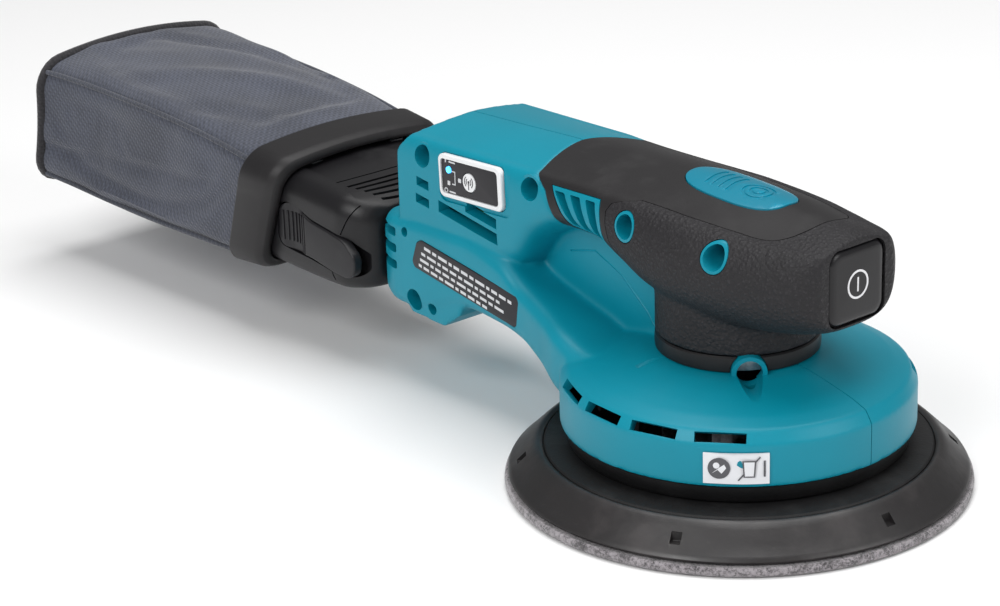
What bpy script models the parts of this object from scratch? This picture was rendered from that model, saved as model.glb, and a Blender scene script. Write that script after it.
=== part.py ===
"""A random orbital sander with a 150 mm pad and a cloth dust bag, as separate solids.

+X points to the tool's front (the power button), -Y is its right-hand side and +Z is up.
The origin lies on the spindle axis, in the plane of the sanding face.
Shapes are drawn in millimetres, and new_object turns them into metres.
"""
import math

import bmesh
import bpy
from mathutils import Matrix, Vector

MM = 0.001
GAP = 0.3                      # clearance between neighbouring pieces

# Pad and its drive
PAD_RADIUS = 75.3
PAD_FACE_TOP = 2.9             # top of the hook-and-loop layer
FOAM_EDGE_RADIUS = 74.2
FOAM_TOP_RADIUS = 64.7
PAD_TOP = 13.8
PLATE_RADIUS = 62.5
ORBIT_OFFSET = 1.5             # half of the 3 mm orbit
ORBIT_ANGLE = math.radians(-41)
DUST_HOLES = 8
DUST_HOLE_RING = 32.5
DUST_HOLE_RADIUS = 5.0
CRANK_RADIUS = 5.7
SHAFT_RADIUS = 6.0
ROTOR_SHAFT_RADIUS = 4.0

# Shroud, neck and duct
SHROUD_RADIUS = 57.0
SHROUD_BOTTOM = 20.3
SHROUD_WALL_TOP = 34.25
SHROUD_CHAMFER_RADIUS = 54.5
SHROUD_CHAMFER_TOP = 38.2
DOME_TOP = 45.0
WALL = 2.5
NECK_RADIUS = 26.3
SLEEVE_TOP = 50.5
SKIN = 2.0                     # thickness of the soft grip skin
DUCT_REAR = -150.0
WEB_HALF = 13.0

# Upper body: x, half width, bottom, widest height, roof edge height, roof edge y, ridge, squareness
UPPER_STATIONS = (
    (-135.5, 28.0, 50.0, 78.0, 92.4, 23.0, 95.2, 6.0),
    (-100.0, 28.0, 50.0, 78.0, 92.6, 23.0, 96.2, 6.0),
    (-78.0, 28.0, 56.0, 80.0, 92.7, 23.0, 97.0, 4.5),
    (-66.0, 27.6, 69.0, 82.0, 92.8, 22.6, 97.3, 2.9),
    (-55.0, 26.9, 73.0, 84.0, 92.8, 22.0, 97.7, 2.4),
    (-40.0, 26.7, 72.6, 83.0, 92.9, 21.8, 98.2, 2.3),
    (-28.0, 28.0, 67.0, 81.0, 92.9, 21.8, 98.5, 2.3),
    (-15.0, 29.8, 60.8, 79.0, 92.8, 21.8, 98.8, 2.3),
    (0.0, 30.8, 58.6, 77.5, 92.3, 21.2, 98.3, 2.4),
    (15.0, 30.2, 58.3, 77.5, 91.7, 19.8, 97.2, 2.4),
    (28.0, 28.2, 58.9, 77.5, 90.9, 17.6, 95.6, 2.4),
    (37.0, 25.2, 60.2, 77.8, 90.0, 15.8, 94.0, 2.4),
    (43.0, 22.0, 61.9, 78.2, 89.3, 14.0, 92.5, 2.5),
    (47.0, 18.0, 63.8, 78.6, 88.7, 12.0, 91.3, 2.7),
    (50.0, 13.2, 66.0, 78.6, 88.2, 9.8, 90.3, 3.4),
)
# Slanted rear edge of the grip skin, in x and z, carried on past the body at both ends
SKIN_EDGE = ((-82.0, 108.0), (-71.5, 97.4), (-66.3, 92.4), (-60.6, 88.4), (-57.8, 82.0), (-55.0, 74.0),
             (-43.0, 40.0))

# Duct: x, half width, bottom, top
DUCT_STATIONS = (
    (DUCT_REAR, 20.0, 31.5, 58.5),
    (-146.0, 25.5, 29.5, 61.0),
    (-138.0, 29.0, 29.0, 62.5),
    (-124.0, 29.5, 29.5, 63.5),
    (-100.0, 29.5, 36.5, 64.0),
    (-82.0, 29.8, 35.3, 60.0),
    (-72.0, 30.5, 33.6, 53.5),
    (-58.0, 33.5, 29.0, 49.0),
    (-45.0, 37.4, 23.5, 45.5),
    (-34.0, 38.0, SHROUD_BOTTOM + 0.6, 42.0),
    (-21.0, 35.0, SHROUD_BOTTOM + 0.6, 41.0),
)
OUTLET = (15.5, 37.0, 53.0)                    # dust outlet: half width, bottom, top

# Side details, given on the right-hand side
PANEL_CENTRE = (-96.0, 83.3)
PANEL_SIZE = (32.0, 15.0)
PANEL_TILT = math.radians(2.3)
SIDE_Y = 28.0
GRIP_SCREWS = {"grip_screw_rear": (-22.0, 85.5), "grip_screw_front": (17.4, 85.2)}
BODY_SCREWS = {"tower_screw_rear": (-121.7, 86.5), "tower_screw_front": (-67.6, 87.2),
               "duct_screw": (-127.0, 33.8)}
SCREW_SEAT = 18.0              # distance of a screw head's seat from the middle
SCREW_HEAD = 3.4
SCREW_SHANK = 1.7
SCREW_TIP = 11.5               # how far a screw reaches into the left half
BOSS_RADIUS = 4.8
COVER_EDGE = 22.6              # just outside the edge of the smooth cover
MODE_BUTTON = (-96.6, 82.9)
STATUS_LAMP = (-107.0, 85.2)
DIAL_CENTRE = (-96.0, 79.5)
DIAL_RADIUS = 7.5
LOUVRE = ((-58.0, 90.4), (-36.0, 90.5), (-33.0, 76.0), (-50.0, 78.3))
CHAMFER_VENTS = (-115, -94, -73, -51, 51, 73, 94, 115)

# Power button
BUTTON_HALF = 12.2
BUTTON_CENTRE_Z = 78.0

# Dust box, latches and bag
BOX_FRONT = DUCT_REAR - 0.6
LATCH_PIN = (-172.0, 31.4)
BOX_SIDE = 34.4
# Slanted sections behind the tool: x at the top, x at the bottom, half width, bottom, top, crown
BAG_SECTIONS = (
    (-203.0, -217.0, 37.9, 29.2, 67.6, 3.0),
    (-212.0, -225.0, 38.4, 28.8, 69.4, 3.4),
    (-235.0, -247.0, 39.6, 28.4, 72.6, 5.5),
    (-262.0, -273.0, 40.8, 28.2, 75.0, 6.5),
    (-290.0, -300.0, 41.9, 28.8, 76.6, 5.5),
    (-318.0, -327.0, 43.2, 30.2, 78.0, 3.0),
    (-337.0, -345.0, 44.4, 31.2, 78.6, 0.8),
)
BAG_PINCH = (0.0, 0.6, 3.2, 5.0, 5.4, 4.4, 1.8)
BAG_CLOTH = 1.2

LATCH_FLOOR = 27.4             # distance of the latch pocket's floor from the middle

# Motor and bearings: inner radius, outer radius, bottom, top
MOTOR_BORE = 22.0
BEARING_LOWER = (SHAFT_RADIUS + GAP, 14.0, 45.5, 53.0)
BEARING_UPPER = (ROTOR_SHAFT_RADIUS + GAP, 9.5, 80.6, 86.6)
BEARING_ECCENTRIC = (CRANK_RADIUS + GAP, 13.3, 17.4, 29.0)
CRANK_PIN = (17.8, 30.8)

# Labels and small features
BADGE_CENTRE_X = 1.4
BADGE_HALF = (20.4, 10.4)
BADGE_POWER = 2.7                     # 2 is an ellipse, and more is squarer
RATING_PLATE = ((-121.5, 57.0), (-124.0, 55.5), (-126.6, 48.4), (-125.5, 46.4), (-74.0, 38.2), (-72.4, 39.4),
                (-71.0, 48.0), (-72.2, 49.4))
STICKER_AZIMUTH = -46.0
STICKER_SPREAD = 20.0          # degrees
NOTCHES = (-128.5, -61.0, 51.5, 118.0, -5.0, 175.0)

TEAL = (0.0, 0.31, 0.40)
BLACK = (0.028, 0.026, 0.03)


def clear_scene():
    for item in list(bpy.data.objects):
        bpy.data.objects.remove(item, do_unlink=True)


def material(name, colour, roughness, metallic=0.0):
    made = bpy.data.materials.get(name)
    if made is None:
        made = bpy.data.materials.new(name)
        made.use_nodes = True
        shader = made.node_tree.nodes["Principled BSDF"]
        shader.inputs["Base Color"].default_value = (*colour, 1.0)
        shader.inputs["Roughness"].default_value = roughness
        shader.inputs["Metallic"].default_value = metallic
        made.diffuse_color = (*colour, 1.0)
    return made


def new_object(name, drawn, finish, origin=(0.0, 0.0, 0.0)):
    """Link a bmesh drawn in millimetres as an object in metres, with its origin at origin."""
    bmesh.ops.recalc_face_normals(drawn, faces=drawn.faces)
    bmesh.ops.translate(drawn, verts=drawn.verts, vec=-Vector(origin))
    bmesh.ops.scale(drawn, verts=drawn.verts, vec=(MM, MM, MM))
    mesh = bpy.data.meshes.new(name)
    drawn.to_mesh(mesh)
    drawn.free()
    made = bpy.data.objects.new(name, mesh)
    made.location = Vector(origin) * MM
    bpy.context.scene.collection.objects.link(made)
    if finish is not None:
        mesh.materials.append(finish)
    return made


def smooth(item, angle=35):
    item.data.shade_smooth()
    item.data.set_sharp_from_angle(angle=math.radians(angle))
    return item


def combine(item, other, operation):
    """Apply a Boolean of other to item, and remove other."""
    other.hide_render = True
    other.display_type = "WIRE"
    step = item.modifiers.new("boolean", "BOOLEAN")
    step.operation = operation
    step.solver = "EXACT"
    step.object = other
    bpy.context.view_layer.update()
    found = item.evaluated_get(bpy.context.evaluated_depsgraph_get())
    mesh = bpy.data.meshes.new_from_object(found)
    item.modifiers.clear()
    item.data = mesh
    bpy.data.objects.remove(other, do_unlink=True)
    return item


def cut(item, *others):
    for other in others:
        combine(item, other, "DIFFERENCE")
    return item


def join(item, *others):
    for other in others:
        combine(item, other, "UNION")
    return item


def common(item, other):
    return combine(item, other, "INTERSECT")


def loft(loops):
    """A closed skin through loops of equal length, with a flat cap at each end."""
    drawn = bmesh.new()
    rings = [[drawn.verts.new(point) for point in loop] for loop in loops]
    count = len(rings[0])
    for near, far in zip(rings, rings[1:]):
        for i in range(count):
            j = (i + 1) % count
            drawn.faces.new((near[i], near[j], far[j], far[i]))
    drawn.faces.new(list(reversed(rings[0])))
    drawn.faces.new(rings[-1])
    return drawn


def tube(outer, inner, open_far=True):
    """A shell between two runs of loops, open at the near end, and at the far end if asked."""
    drawn = bmesh.new()
    outside = [[drawn.verts.new(point) for point in loop] for loop in outer]
    inside = [[drawn.verts.new(point) for point in loop] for loop in inner]
    count = len(outside[0])
    walls = list(zip(outside, outside[1:])) + list(zip(inside, inside[1:]))
    walls.append((outside[0], inside[0]))
    if open_far:
        walls.append((outside[-1], inside[-1]))
    for near, far in walls:
        for i in range(count):
            j = (i + 1) % count
            drawn.faces.new((near[i], near[j], far[j], far[i]))
    if not open_far:
        drawn.faces.new(outside[-1])
        drawn.faces.new(inside[-1])
    return drawn


def lathe(profile, sides, centre=(0.0, 0.0), turn=0.0):
    """Turn a profile of (radius, z) points about the vertical line through centre.

    A profile that starts and ends at radius 0 gives a solid, any other a ring.
    """
    drawn = bmesh.new()
    ring_form = profile[0][0] > 0
    rings = []
    for radius, z in profile:
        if radius == 0:
            rings.append([drawn.verts.new((centre[0], centre[1], z))])
            continue
        ring = []
        for i in range(sides):
            angle = turn + math.tau * i / sides
            x = centre[0] + radius * math.cos(angle)
            y = centre[1] + radius * math.sin(angle)
            ring.append(drawn.verts.new((x, y, z)))
        rings.append(ring)
    pairs = list(zip(rings, rings[1:]))
    if ring_form:
        pairs.append((rings[-1], rings[0]))
    for near, far in pairs:
        for i in range(sides):
            j = (i + 1) % sides
            if len(near) == 1:
                drawn.faces.new((near[0], far[i], far[j]))
            elif len(far) == 1:
                drawn.faces.new((near[i], near[j], far[0]))
            else:
                drawn.faces.new((near[i], near[j], far[j], far[i]))
    return drawn


def prism(outline, axis, low, high):
    """Extrude an outline of two coordinates along axis, from low to high."""
    def place(pair, along):
        first, second = pair
        return {"x": (along, first, second), "y": (first, along, second), "z": (first, second, along)}[axis]
    return loft([[place(pair, low) for pair in outline], [place(pair, high) for pair in outline]])


def block(low, high):
    outline = ((low[0], low[1]), (high[0], low[1]), (high[0], high[1]), (low[0], high[1]))
    return prism(outline, "z", low[2], high[2])


def rounded(half_width, half_height, radius, steps=4, centre=(0.0, 0.0), between=0):
    """A rectangle with round corners, as pairs of coordinates, with points between the corners."""
    corners = []
    for quarter in range(4):
        sign_x = (1, -1, -1, 1)[quarter]
        sign_y = (1, 1, -1, -1)[quarter]
        for step in range(steps + 1):
            angle = math.pi / 2 * (quarter + step / steps)
            x = sign_x * (half_width - radius) + radius * math.cos(angle)
            y = sign_y * (half_height - radius) + radius * math.sin(angle)
            corners.append(Vector((centre[0] + x, centre[1] + y)))
    points = []
    for i, corner in enumerate(corners):
        points.append(tuple(corner))
        if i % (steps + 1) == steps:
            following = corners[(i + 1) % len(corners)]
            for step in range(between):
                points.append(tuple(corner.lerp(following, (step + 1) / (between + 1))))
    return points


def rod(start, end, radius, sides=20, end_radius=None):
    """A round bar from start to end."""
    start = Vector(start)
    axis = Vector(end) - start
    far_radius = radius if end_radius is None else end_radius
    drawn = bmesh.new()
    place = Matrix.Translation(start + axis / 2) @ axis.to_track_quat("Z", "Y").to_matrix().to_4x4()
    bmesh.ops.create_cone(drawn, cap_ends=True, segments=sides, radius1=radius, radius2=far_radius,
                          depth=axis.length, matrix=place)
    return drawn


def tool(drawn):
    """A cutter or a piece to be joined on."""
    return new_object("cutter", drawn, None)


# ---------------------------------------------------------------- upper body sections

def upper_loop(station, grow):
    """One cross-section of the tower, handle or head, as points at a constant x."""
    x, half, bottom, belly, edge, edge_y, ridge, power = station
    half += grow
    bottom -= grow
    edge += grow
    ridge += grow
    edge_y += grow * 0.45
    upper_power = 3.2 if power > 4 else 2.2
    side = []
    for step in range(6):
        angle = math.pi / 2 * step / 5
        side.append((half * math.sin(angle) ** (2 / power),
                     belly - (belly - bottom) * abs(math.cos(angle)) ** (2 / power)))
    for step in range(1, 4):
        angle = math.pi / 2 * step / 3
        side.append((edge_y + (half - edge_y) * abs(math.cos(angle)) ** (2 / upper_power),
                     belly + (edge - belly) * math.sin(angle) ** (2 / upper_power)))
    for share in (0.5, 0.0):
        side.append((edge_y * share, ridge - (ridge - edge) * share ** 1.4))
    mirrored = [(-y, z) for y, z in side[-2:0:-1]]
    return [(x, y, z) for y, z in side + mirrored]


def upper_solid(grow, rear_x=None):
    """The whole upper body from tower to button face, grown or shrunk by grow."""
    loops = []
    for station in UPPER_STATIONS:
        x = station[0]
        if station is UPPER_STATIONS[0]:
            x = x - grow if rear_x is None else rear_x
        if station is UPPER_STATIONS[-1]:
            x += grow
        loops.append(upper_loop((x, *station[1:]), grow))
    return tool(loft(loops))


def behind_skin(shift):
    """Everything behind the slanted rear edge of the grip skin, moved forward by shift."""
    edge = [(x + shift, z) for x, z in SKIN_EDGE]
    return tool(prism(((-160, SKIN_EDGE[0][1]), *edge, (-160, SKIN_EDGE[-1][1])), "y", -50, 50))


def neck_column(radius, bottom):
    return tool(lathe(((0, bottom), (radius, bottom), (radius, 72), (0, 72)), 40, turn=0.03))


def web_solid(grow):
    """The web between the handle and the duct."""
    outline = ((-88, 47), (-60, 41), (-14, 41), (-14, 60), (-25, 68), (-36, 76), (-56, 77), (-88, 77))
    half = WEB_HALF + grow
    return tool(prism(grown(outline, grow * 2), "y", -half, half))


def duct_loop(station, shrink=0.0):
    x, half, bottom, top = station
    outline = rounded(half - shrink, (top - bottom) / 2 - shrink, 5.5 - shrink * 0.6, 3,
                      (0, (top + bottom) / 2))
    return [(x, y, z) for y, z in outline]


def duct_solid():
    return tool(loft([duct_loop(station) for station in DUCT_STATIONS]))


def duct_cavity():
    """The passage inside the duct, from the shroud to the outlet."""
    half, bottom, top = OUTLET
    mouth = rounded(half, (top - bottom) / 2, 4, 3, (0, (bottom + top) / 2))
    loops = [[(x, y, z) for y, z in mouth] for x in (DUCT_REAR - 6, DUCT_REAR + WALL + 0.5)]
    loops.append(duct_loop((DUCT_REAR + 6, 23.0, 33.0, 57.0)))
    for x, wide, low, high in DUCT_STATIONS[2:-1]:
        loops.append(duct_loop((x, wide, max(low, SHROUD_BOTTOM + 2.5), high), WALL))
    loops.append(duct_loop((-12.0, 33.0, SHROUD_BOTTOM + 3.2, 39.2), WALL))
    return tool(loft(loops))


def shroud_solid():
    return tool(lathe(((0, SHROUD_BOTTOM), (SHROUD_RADIUS, SHROUD_BOTTOM), (SHROUD_RADIUS, SHROUD_WALL_TOP),
                       (SHROUD_CHAMFER_RADIUS, SHROUD_CHAMFER_TOP), (42.5, 42.0), (30.5, 44.6),
                       (NECK_RADIUS, DOME_TOP), (0, DOME_TOP)), 56))


def shroud_cavity():
    """The room for the fan under the dome, with the motor's bore above it."""
    return tool(lathe(((0, SHROUD_BOTTOM - 2), (54.3, SHROUD_BOTTOM - 2), (54.3, 33.2), (51.0, 36.6),
                       (30, 41.9), (MOTOR_BORE, 42.4), (MOTOR_BORE, 71), (0, 71)), 32, turn=0.04))


def strip(start, end, thickness):
    """An outline in x and z along a slanted line, with vertical ends."""
    half = thickness / 2
    return ((start[0], start[1] - half), (end[0], end[1] - half),
            (end[0], end[1] + half), (start[0], start[1] + half))


def side_pair(outline, near, far):
    """A pair of prisms, one on each side, between two distances from the middle."""
    pair = prism(outline, "y", near, far)
    other = prism(outline, "y", -far, -near)
    mesh = bpy.data.meshes.new("pair")
    other.to_mesh(mesh)
    pair.from_mesh(mesh)
    other.free()
    return tool(pair)


def tower_slots():
    """Outlines of the cooling slots in the sides of the tower."""
    return (strip((-113.5, 70.9), (-83.8, 66.0), 4.2),
            strip((-99.5, 73.9), (-83.8, 71.4), 3.6),
            strip((-124.8, 77.4), (-118.5, 76.5), 3.2),
            strip((-125.5, 71.2), (-118.5, 70.2), 3.2))


def turned_block(size, moves):
    """A box cutter of half sizes, centred and then moved by the matrices in order."""
    drawn = block([-length for length in size], size)
    for move in moves:
        bmesh.ops.transform(drawn, matrix=move, verts=drawn.verts)
    return tool(drawn)


def corner_louvres():
    """Cutters for the louvres round the rear corners of the duct."""
    made = []
    for z in (56.2, 50.2, 44.2):
        for side in (-1, 1):
            turn = Matrix.Rotation(math.radians(side * 45), 4, "Z")
            made.append(turned_block((8.0, 3.4, 1.5), (turn, Matrix.Translation((-142.8, side * 24.5, z)))))
    return made


def chamfer_vents():
    """Cutters for the exhaust slots through the shroud's chamfer."""
    tip = Matrix.Rotation(math.radians(-32), 4, "Y")
    out = Matrix.Translation((55.4, 0, 36.1))
    return [turned_block((4.2, 7.0, 1.25), (tip, out, Matrix.Rotation(math.radians(degrees), 4, "Z")))
            for degrees in CHAMFER_VENTS]


def grown(outline, grow):
    """The outline with each corner moved away from its middle."""
    middle = sum((Vector(point) for point in outline), Vector((0, 0))) / len(outline)
    made = []
    for point in outline:
        offset = Vector(point) - middle
        made.append(tuple(middle + offset * (1 + grow / offset.length)))
    return made


def panel_outline(grow):
    """The control panel's outline in x and z, tilted with the tower's roof."""
    pairs = rounded(PANEL_SIZE[0] / 2 + grow, PANEL_SIZE[1] / 2 + grow, 2.4 + grow * 0.8, 3)
    cosine = math.cos(PANEL_TILT)
    sine = math.sin(PANEL_TILT)
    return [(PANEL_CENTRE[0] + x * cosine - z * sine, PANEL_CENTRE[1] + x * sine + z * cosine)
            for x, z in pairs]


def louvre_slots():
    """The three slanted slots of one louvre window, as outlines in x and z."""
    rear_top, front_top, front_low, rear_low = (Vector(point) for point in LOUVRE)
    made = []
    for start, end in ((0.08, 0.27), (0.40, 0.59), (0.72, 0.91)):
        high = [rear_top.lerp(front_top, share) - Vector((0, 1.2)) for share in (start, end)]
        low = [rear_low.lerp(front_low, share) + Vector((0, 1.3)) for share in (start, end)]
        made.append([tuple(point) for point in (high[0], high[1], low[1], low[0])])
    return made


def button_hole(half):
    return tool(prism(rounded(half, half, 4.5, 3, (0, BUTTON_CENTRE_Z)), "x", 40, 56))


def cover_outline(grow):
    """Plan outline of the smooth cover along the top of the grip."""
    side = [(-80, 22), (-20, 21.4), (0, 21.0), (15, 19.8), (26, 18.2), (31, 16.4), (34.5, 12.5), (36.4, 7.0)]
    near = [(x + (grow if x > 33 else 0), -y - grow) for x, y in side]
    return near + [(37.0 + grow, 0.0)] + [(x, -y) for x, y in reversed(near)]


def badge_outline(grow):
    """A squarish oval."""
    sides = 30
    outline = []
    for i in range(sides):
        turn = math.tau * (i + 0.5) / sides
        along = math.copysign(abs(math.cos(turn)) ** (2 / BADGE_POWER), math.cos(turn))
        across = math.copysign(abs(math.sin(turn)) ** (2 / BADGE_POWER), math.sin(turn))
        outline.append((BADGE_CENTRE_X + (BADGE_HALF[0] + grow) * along, (BADGE_HALF[1] + grow) * across))
    return outline


# ---------------------------------------------------------------- housing and grip

def screw_boss(name):
    """The boss of one housing screw; a grip screw's boss reaches out to the grip's surface."""
    if name in GRIP_SCREWS:
        x, z = GRIP_SCREWS[name]
        mouth = common(tool(rod((x, -34, z), (x, -COVER_EDGE, z), BOSS_RADIUS, 14)), upper_solid(-0.05))
        rest = tool(rod((x, -COVER_EDGE - 1, z), (x, SCREW_TIP + 2.5, z), BOSS_RADIUS, 14))
        return join(mouth, common(rest, upper_solid(-SKIN - GAP)))
    x, z = BODY_SCREWS[name]
    return tool(rod((x, -26.5, z), (x, 21, z), BOSS_RADIUS, 14))


def screw_holes(x, z):
    """The recess for the head and the hole for the shank."""
    return (tool(rod((x, -36, z), (x, -SCREW_SEAT, z), SCREW_HEAD + 0.5, 12)),
            tool(rod((x, -SCREW_SEAT - 1, z), (x, SCREW_TIP + 1, z), SCREW_SHANK + GAP, 8)))


def housing_whole():
    """Both housing halves as one piece: shroud, duct, tower and the core of the grip."""
    tower = common(upper_solid(0), behind_skin(-GAP / 2))
    tower = cut(tower, tool(prism(((-140, 84), (-136.5, 84), (-135.0, 86.6), (-127.5, 95.4), (-124, 100),
                                   (-140, 100)), "y", -40, 40)))
    lug = tool(prism(((-132.5, 45), (-132.5, 31.5), (-129.5, 28.4), (-112.5, 27.6), (-104, 33.5),
                      (-98, 45)), "y", -28.6, 28.6))
    whole = join(tower, upper_solid(-SKIN - GAP, -100), neck_column(NECK_RADIUS - SKIN - GAP, 44.0),
                 shroud_solid(), duct_solid(), lug, web_solid(0))
    room = cut(upper_solid(-SKIN - GAP - WALL, -132.5), tool(block((-140, -40, 40), (-40, 40, 67.0))))
    return cut(whole, join(shroud_cavity(), duct_cavity(), room))


def add_housing_bosses(whole):
    for name in (*GRIP_SCREWS, *BODY_SCREWS):
        whole = join(whole, screw_boss(name))
    seat = cut(tool(block((-17, -23, 81.4), (12.4, 23, 86.0))),
               tool(rod((0, 0, 78), (0, 0, 90), BEARING_UPPER[1] + GAP, 20)))
    whole = join(whole, seat)
    for x, z in (*GRIP_SCREWS.values(), *BODY_SCREWS.values()):
        whole = cut(whole, *screw_holes(x, z))
    return whole


def cut_housing_openings(whole):
    window = common(side_pair(LOUVRE, 20, 34), upper_solid(-0.05))
    whole = join(whole, window)
    for outline in (*louvre_slots(), *tower_slots()):
        whole = cut(whole, side_pair(outline, 15, 36))
    whole = cut(whole, *corner_louvres(), *chamfer_vents())
    turns = [math.tau * i / 10 for i in range(10)]
    peephole = [(-131 + 1.7 * math.cos(turn), 57.6 + 1.7 * math.sin(turn)) for turn in turns]
    whole = cut(whole, side_pair(peephole, 20, 34))
    lug_hole = tool(rod((-118, -32, 32.6), (-118, 32, 32.6), 2.1, 10))
    inlet = tool(block((-140, -9.3, 68.7), (-130, 9.3, 81.3)))
    return cut(whole, lug_hole, inlet, button_hole(BUTTON_HALF + GAP))


def cut_housing_pockets(whole):
    """Pockets for the control panel, the rating plate and the speed dial."""
    panel = tool(prism(panel_outline(GAP), "y", -32, -26.3))
    key_x, key_z = MODE_BUTTON
    plunger = tool(rod((key_x, -30, key_z), (key_x, -20, key_z), 3.7, 12))
    plate = tool(prism(grown(RATING_PLATE, GAP), "y", -36, -29.0))
    x, z = DIAL_CENTRE
    dial = tool(rod((x, 24.4, z), (x, 32, z), DIAL_RADIUS + GAP, 24))
    return cut(whole, panel, plunger, plate, dial)


def split(whole, base_name, finish):
    """Cut a piece along the middle plane into its right and left halves, each capped there."""
    for suffix, side in (("right", -1), ("left", 1)):
        drawn = bmesh.new()
        drawn.from_mesh(whole.data)
        everything = [*drawn.verts, *drawn.edges, *drawn.faces]
        found = bmesh.ops.bisect_plane(drawn, geom=everything, dist=1e-7, clear_inner=True,
                                       plane_co=(0, side * GAP / 2 * MM, 0), plane_no=(0, side, 0))
        rim = [part for part in found["geom_cut"] if isinstance(part, bmesh.types.BMVert)]
        bmesh.ops.remove_doubles(drawn, verts=rim, dist=1e-7)
        edges = [edge for edge in drawn.edges if edge.is_boundary]
        bmesh.ops.triangle_fill(drawn, use_beauty=True, edges=edges, normal=(0, -side, 0))
        bmesh.ops.scale(drawn, verts=drawn.verts, vec=(1 / MM, 1 / MM, 1 / MM))
        smooth(new_object(f"{base_name}_{suffix}", drawn, finish), 28)
    bpy.data.objects.remove(whole, do_unlink=True)


def make_housing(finish):
    whole = cut_housing_pockets(cut_housing_openings(add_housing_bosses(housing_whole())))
    split(whole, "housing", finish)


def make_grip(finish):
    """The soft skin over the handle, head and neck."""
    whole = join(upper_solid(0), neck_column(NECK_RADIUS, SLEEVE_TOP + GAP))
    core = join(upper_solid(-SKIN), neck_column(NECK_RADIUS - SKIN, 40))
    whole = cut(whole, core, behind_skin(GAP / 2), web_solid(GAP),
                tool(prism(cover_outline(GAP), "z", 87, 105)), button_hole(BUTTON_HALF + GAP),
                side_pair(grown(LOUVRE, 0.5), 18, 36))
    for x, z in GRIP_SCREWS.values():
        whole = cut(whole, tool(rod((x, -36, z), (x, -18, z), BOSS_RADIUS + GAP, 14)))
    split(whole, "grip", finish)


def make_top_cover(finish, badge_finish):
    cover = common(upper_solid(0), tool(prism(cover_outline(0), "z", 88, 104)))
    cover = cut(cover, upper_solid(-SKIN), behind_skin(GAP / 2))
    pocket = cut(tool(prism(badge_outline(GAP), "z", 88, 104)), upper_solid(-1.0))
    cover = cut(cover, pocket)
    cover.name = "top_cover"
    cover.data.materials.append(finish)
    smooth(cover, 28)
    badge = common(upper_solid(0.35), tool(prism(badge_outline(0), "z", 88, 104)))
    badge = cut(badge, upper_solid(-0.7))
    badge.name = "badge"
    badge.data.materials.append(badge_finish)
    smooth(badge, 28)


def make_neck_sleeve(finish):
    inner = NECK_RADIUS - SKIN
    low = DOME_TOP + GAP
    ring = lathe(((inner, low), (NECK_RADIUS, low), (NECK_RADIUS, SLEEVE_TOP), (inner, SLEEVE_TOP)), 40)
    smooth(cut(new_object("neck_sleeve", ring, finish), web_solid(GAP)))


# ---------------------------------------------------------------- panel, labels and controls

def make_panel(white, black, lamp):
    bezel = new_object("panel_bezel", prism(panel_outline(0), "y", -28.7, -26.6), white)
    x, z = MODE_BUTTON
    cut(bezel, tool(prism(panel_outline(-1.8), "y", -30, -27.4)),
        tool(rod((x, -30, z), (x, -20, z), 3.7, 20)))
    face = new_object("panel_face", prism(panel_outline(-1.8 - GAP), "y", -28.4, -27.7), black)
    lamp_x, lamp_z = STATUS_LAMP
    cut(face, tool(rod((x, -30, z), (x, -20, z), 3.6, 20)),
        tool(rod((lamp_x, -30, lamp_z), (lamp_x, -20, lamp_z), 1.4, 14)))
    smooth(new_object("mode_button", rod((x, -28.5, z), (x, -26.9, z), 3.2, 24), white, (x, -28, z)))
    smooth(new_object("status_lamp", rod((lamp_x, -28.5, lamp_z), (lamp_x, -27.7, lamp_z), 1.1, 14), lamp))


def make_labels(black, white):
    new_object("rating_plate", prism(RATING_PLATE, "y", -29.8, -29.3), black)
    outer = []
    for step in range(9):
        outer.append(math.radians(STICKER_AZIMUTH + STICKER_SPREAD * (step / 8 - 0.5)))
    near = SHROUD_RADIUS + GAP
    outline = [(radius * math.cos(turn), radius * math.sin(turn))
               for radius, turns in ((near + 0.4, outer), (near, list(reversed(outer)))) for turn in turns]
    new_object("info_sticker", prism(outline, "z", 21.9, 31.9), white)


def make_power_button(finish, spring_finish, switch_finish):
    """The front push button, its return spring and the switch behind it."""
    outline = rounded(BUTTON_HALF, BUTTON_HALF, 4.2, 3, (0, BUTTON_CENTRE_Z))
    button = new_object("power_button", prism(outline, "x", 44.6, 50.3), finish, (50, 0, BUTTON_CENTRE_Z))
    switch = new_object("power_switch", block((26, -8.5, 70), (36, 8.5, 86)), switch_finish)
    bevel = switch.modifiers.new("bevel", "BEVEL")
    bevel.width = 0.8 * MM
    bevel.segments = 2
    make_spring("power_button_spring", (36.3, 0, BUTTON_CENTRE_Z), 8.0, 4.2, 0.45, 5, spring_finish)
    return button


def make_spring(name, start, length, radius, wire, turns, finish):
    """A helical spring along X, as a tube swept round the coil."""
    steps = turns * 9
    loops = []
    for i in range(steps + 1):
        turn = math.tau * turns * i / steps
        centre = Vector((start[0] + wire + (length - 2 * wire) * i / steps,
                         start[1] + radius * math.cos(turn), start[2] + radius * math.sin(turn)))
        outward = Vector((0, math.cos(turn), math.sin(turn)))
        loops.append([centre + wire * (outward * math.cos(math.tau * k / 5)
                                       + Vector((1, 0, 0)) * math.sin(math.tau * k / 5)) for k in range(5)])
    smooth(new_object(name, loft(loops), finish), 60)


def make_speed_dial(finish):
    """The ribbed wheel in the left side of the tower, with a pointer slot."""
    x, z = DIAL_CENTRE
    outline = []
    for i in range(48):
        radius = DIAL_RADIUS - (0.5 if i % 2 else 0.0)
        turn = math.tau * i / 48
        outline.append((x + radius * math.cos(turn), z + radius * math.sin(turn)))
    dial = new_object("speed_dial", prism(outline, "y", 24.8, 28.8), finish, (x, SIDE_Y, z))
    cut(dial, tool(block((x - 0.7, 28.0, z + 1), (x + 0.7, 30, z + 6))))


# ---------------------------------------------------------------- drive

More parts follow.
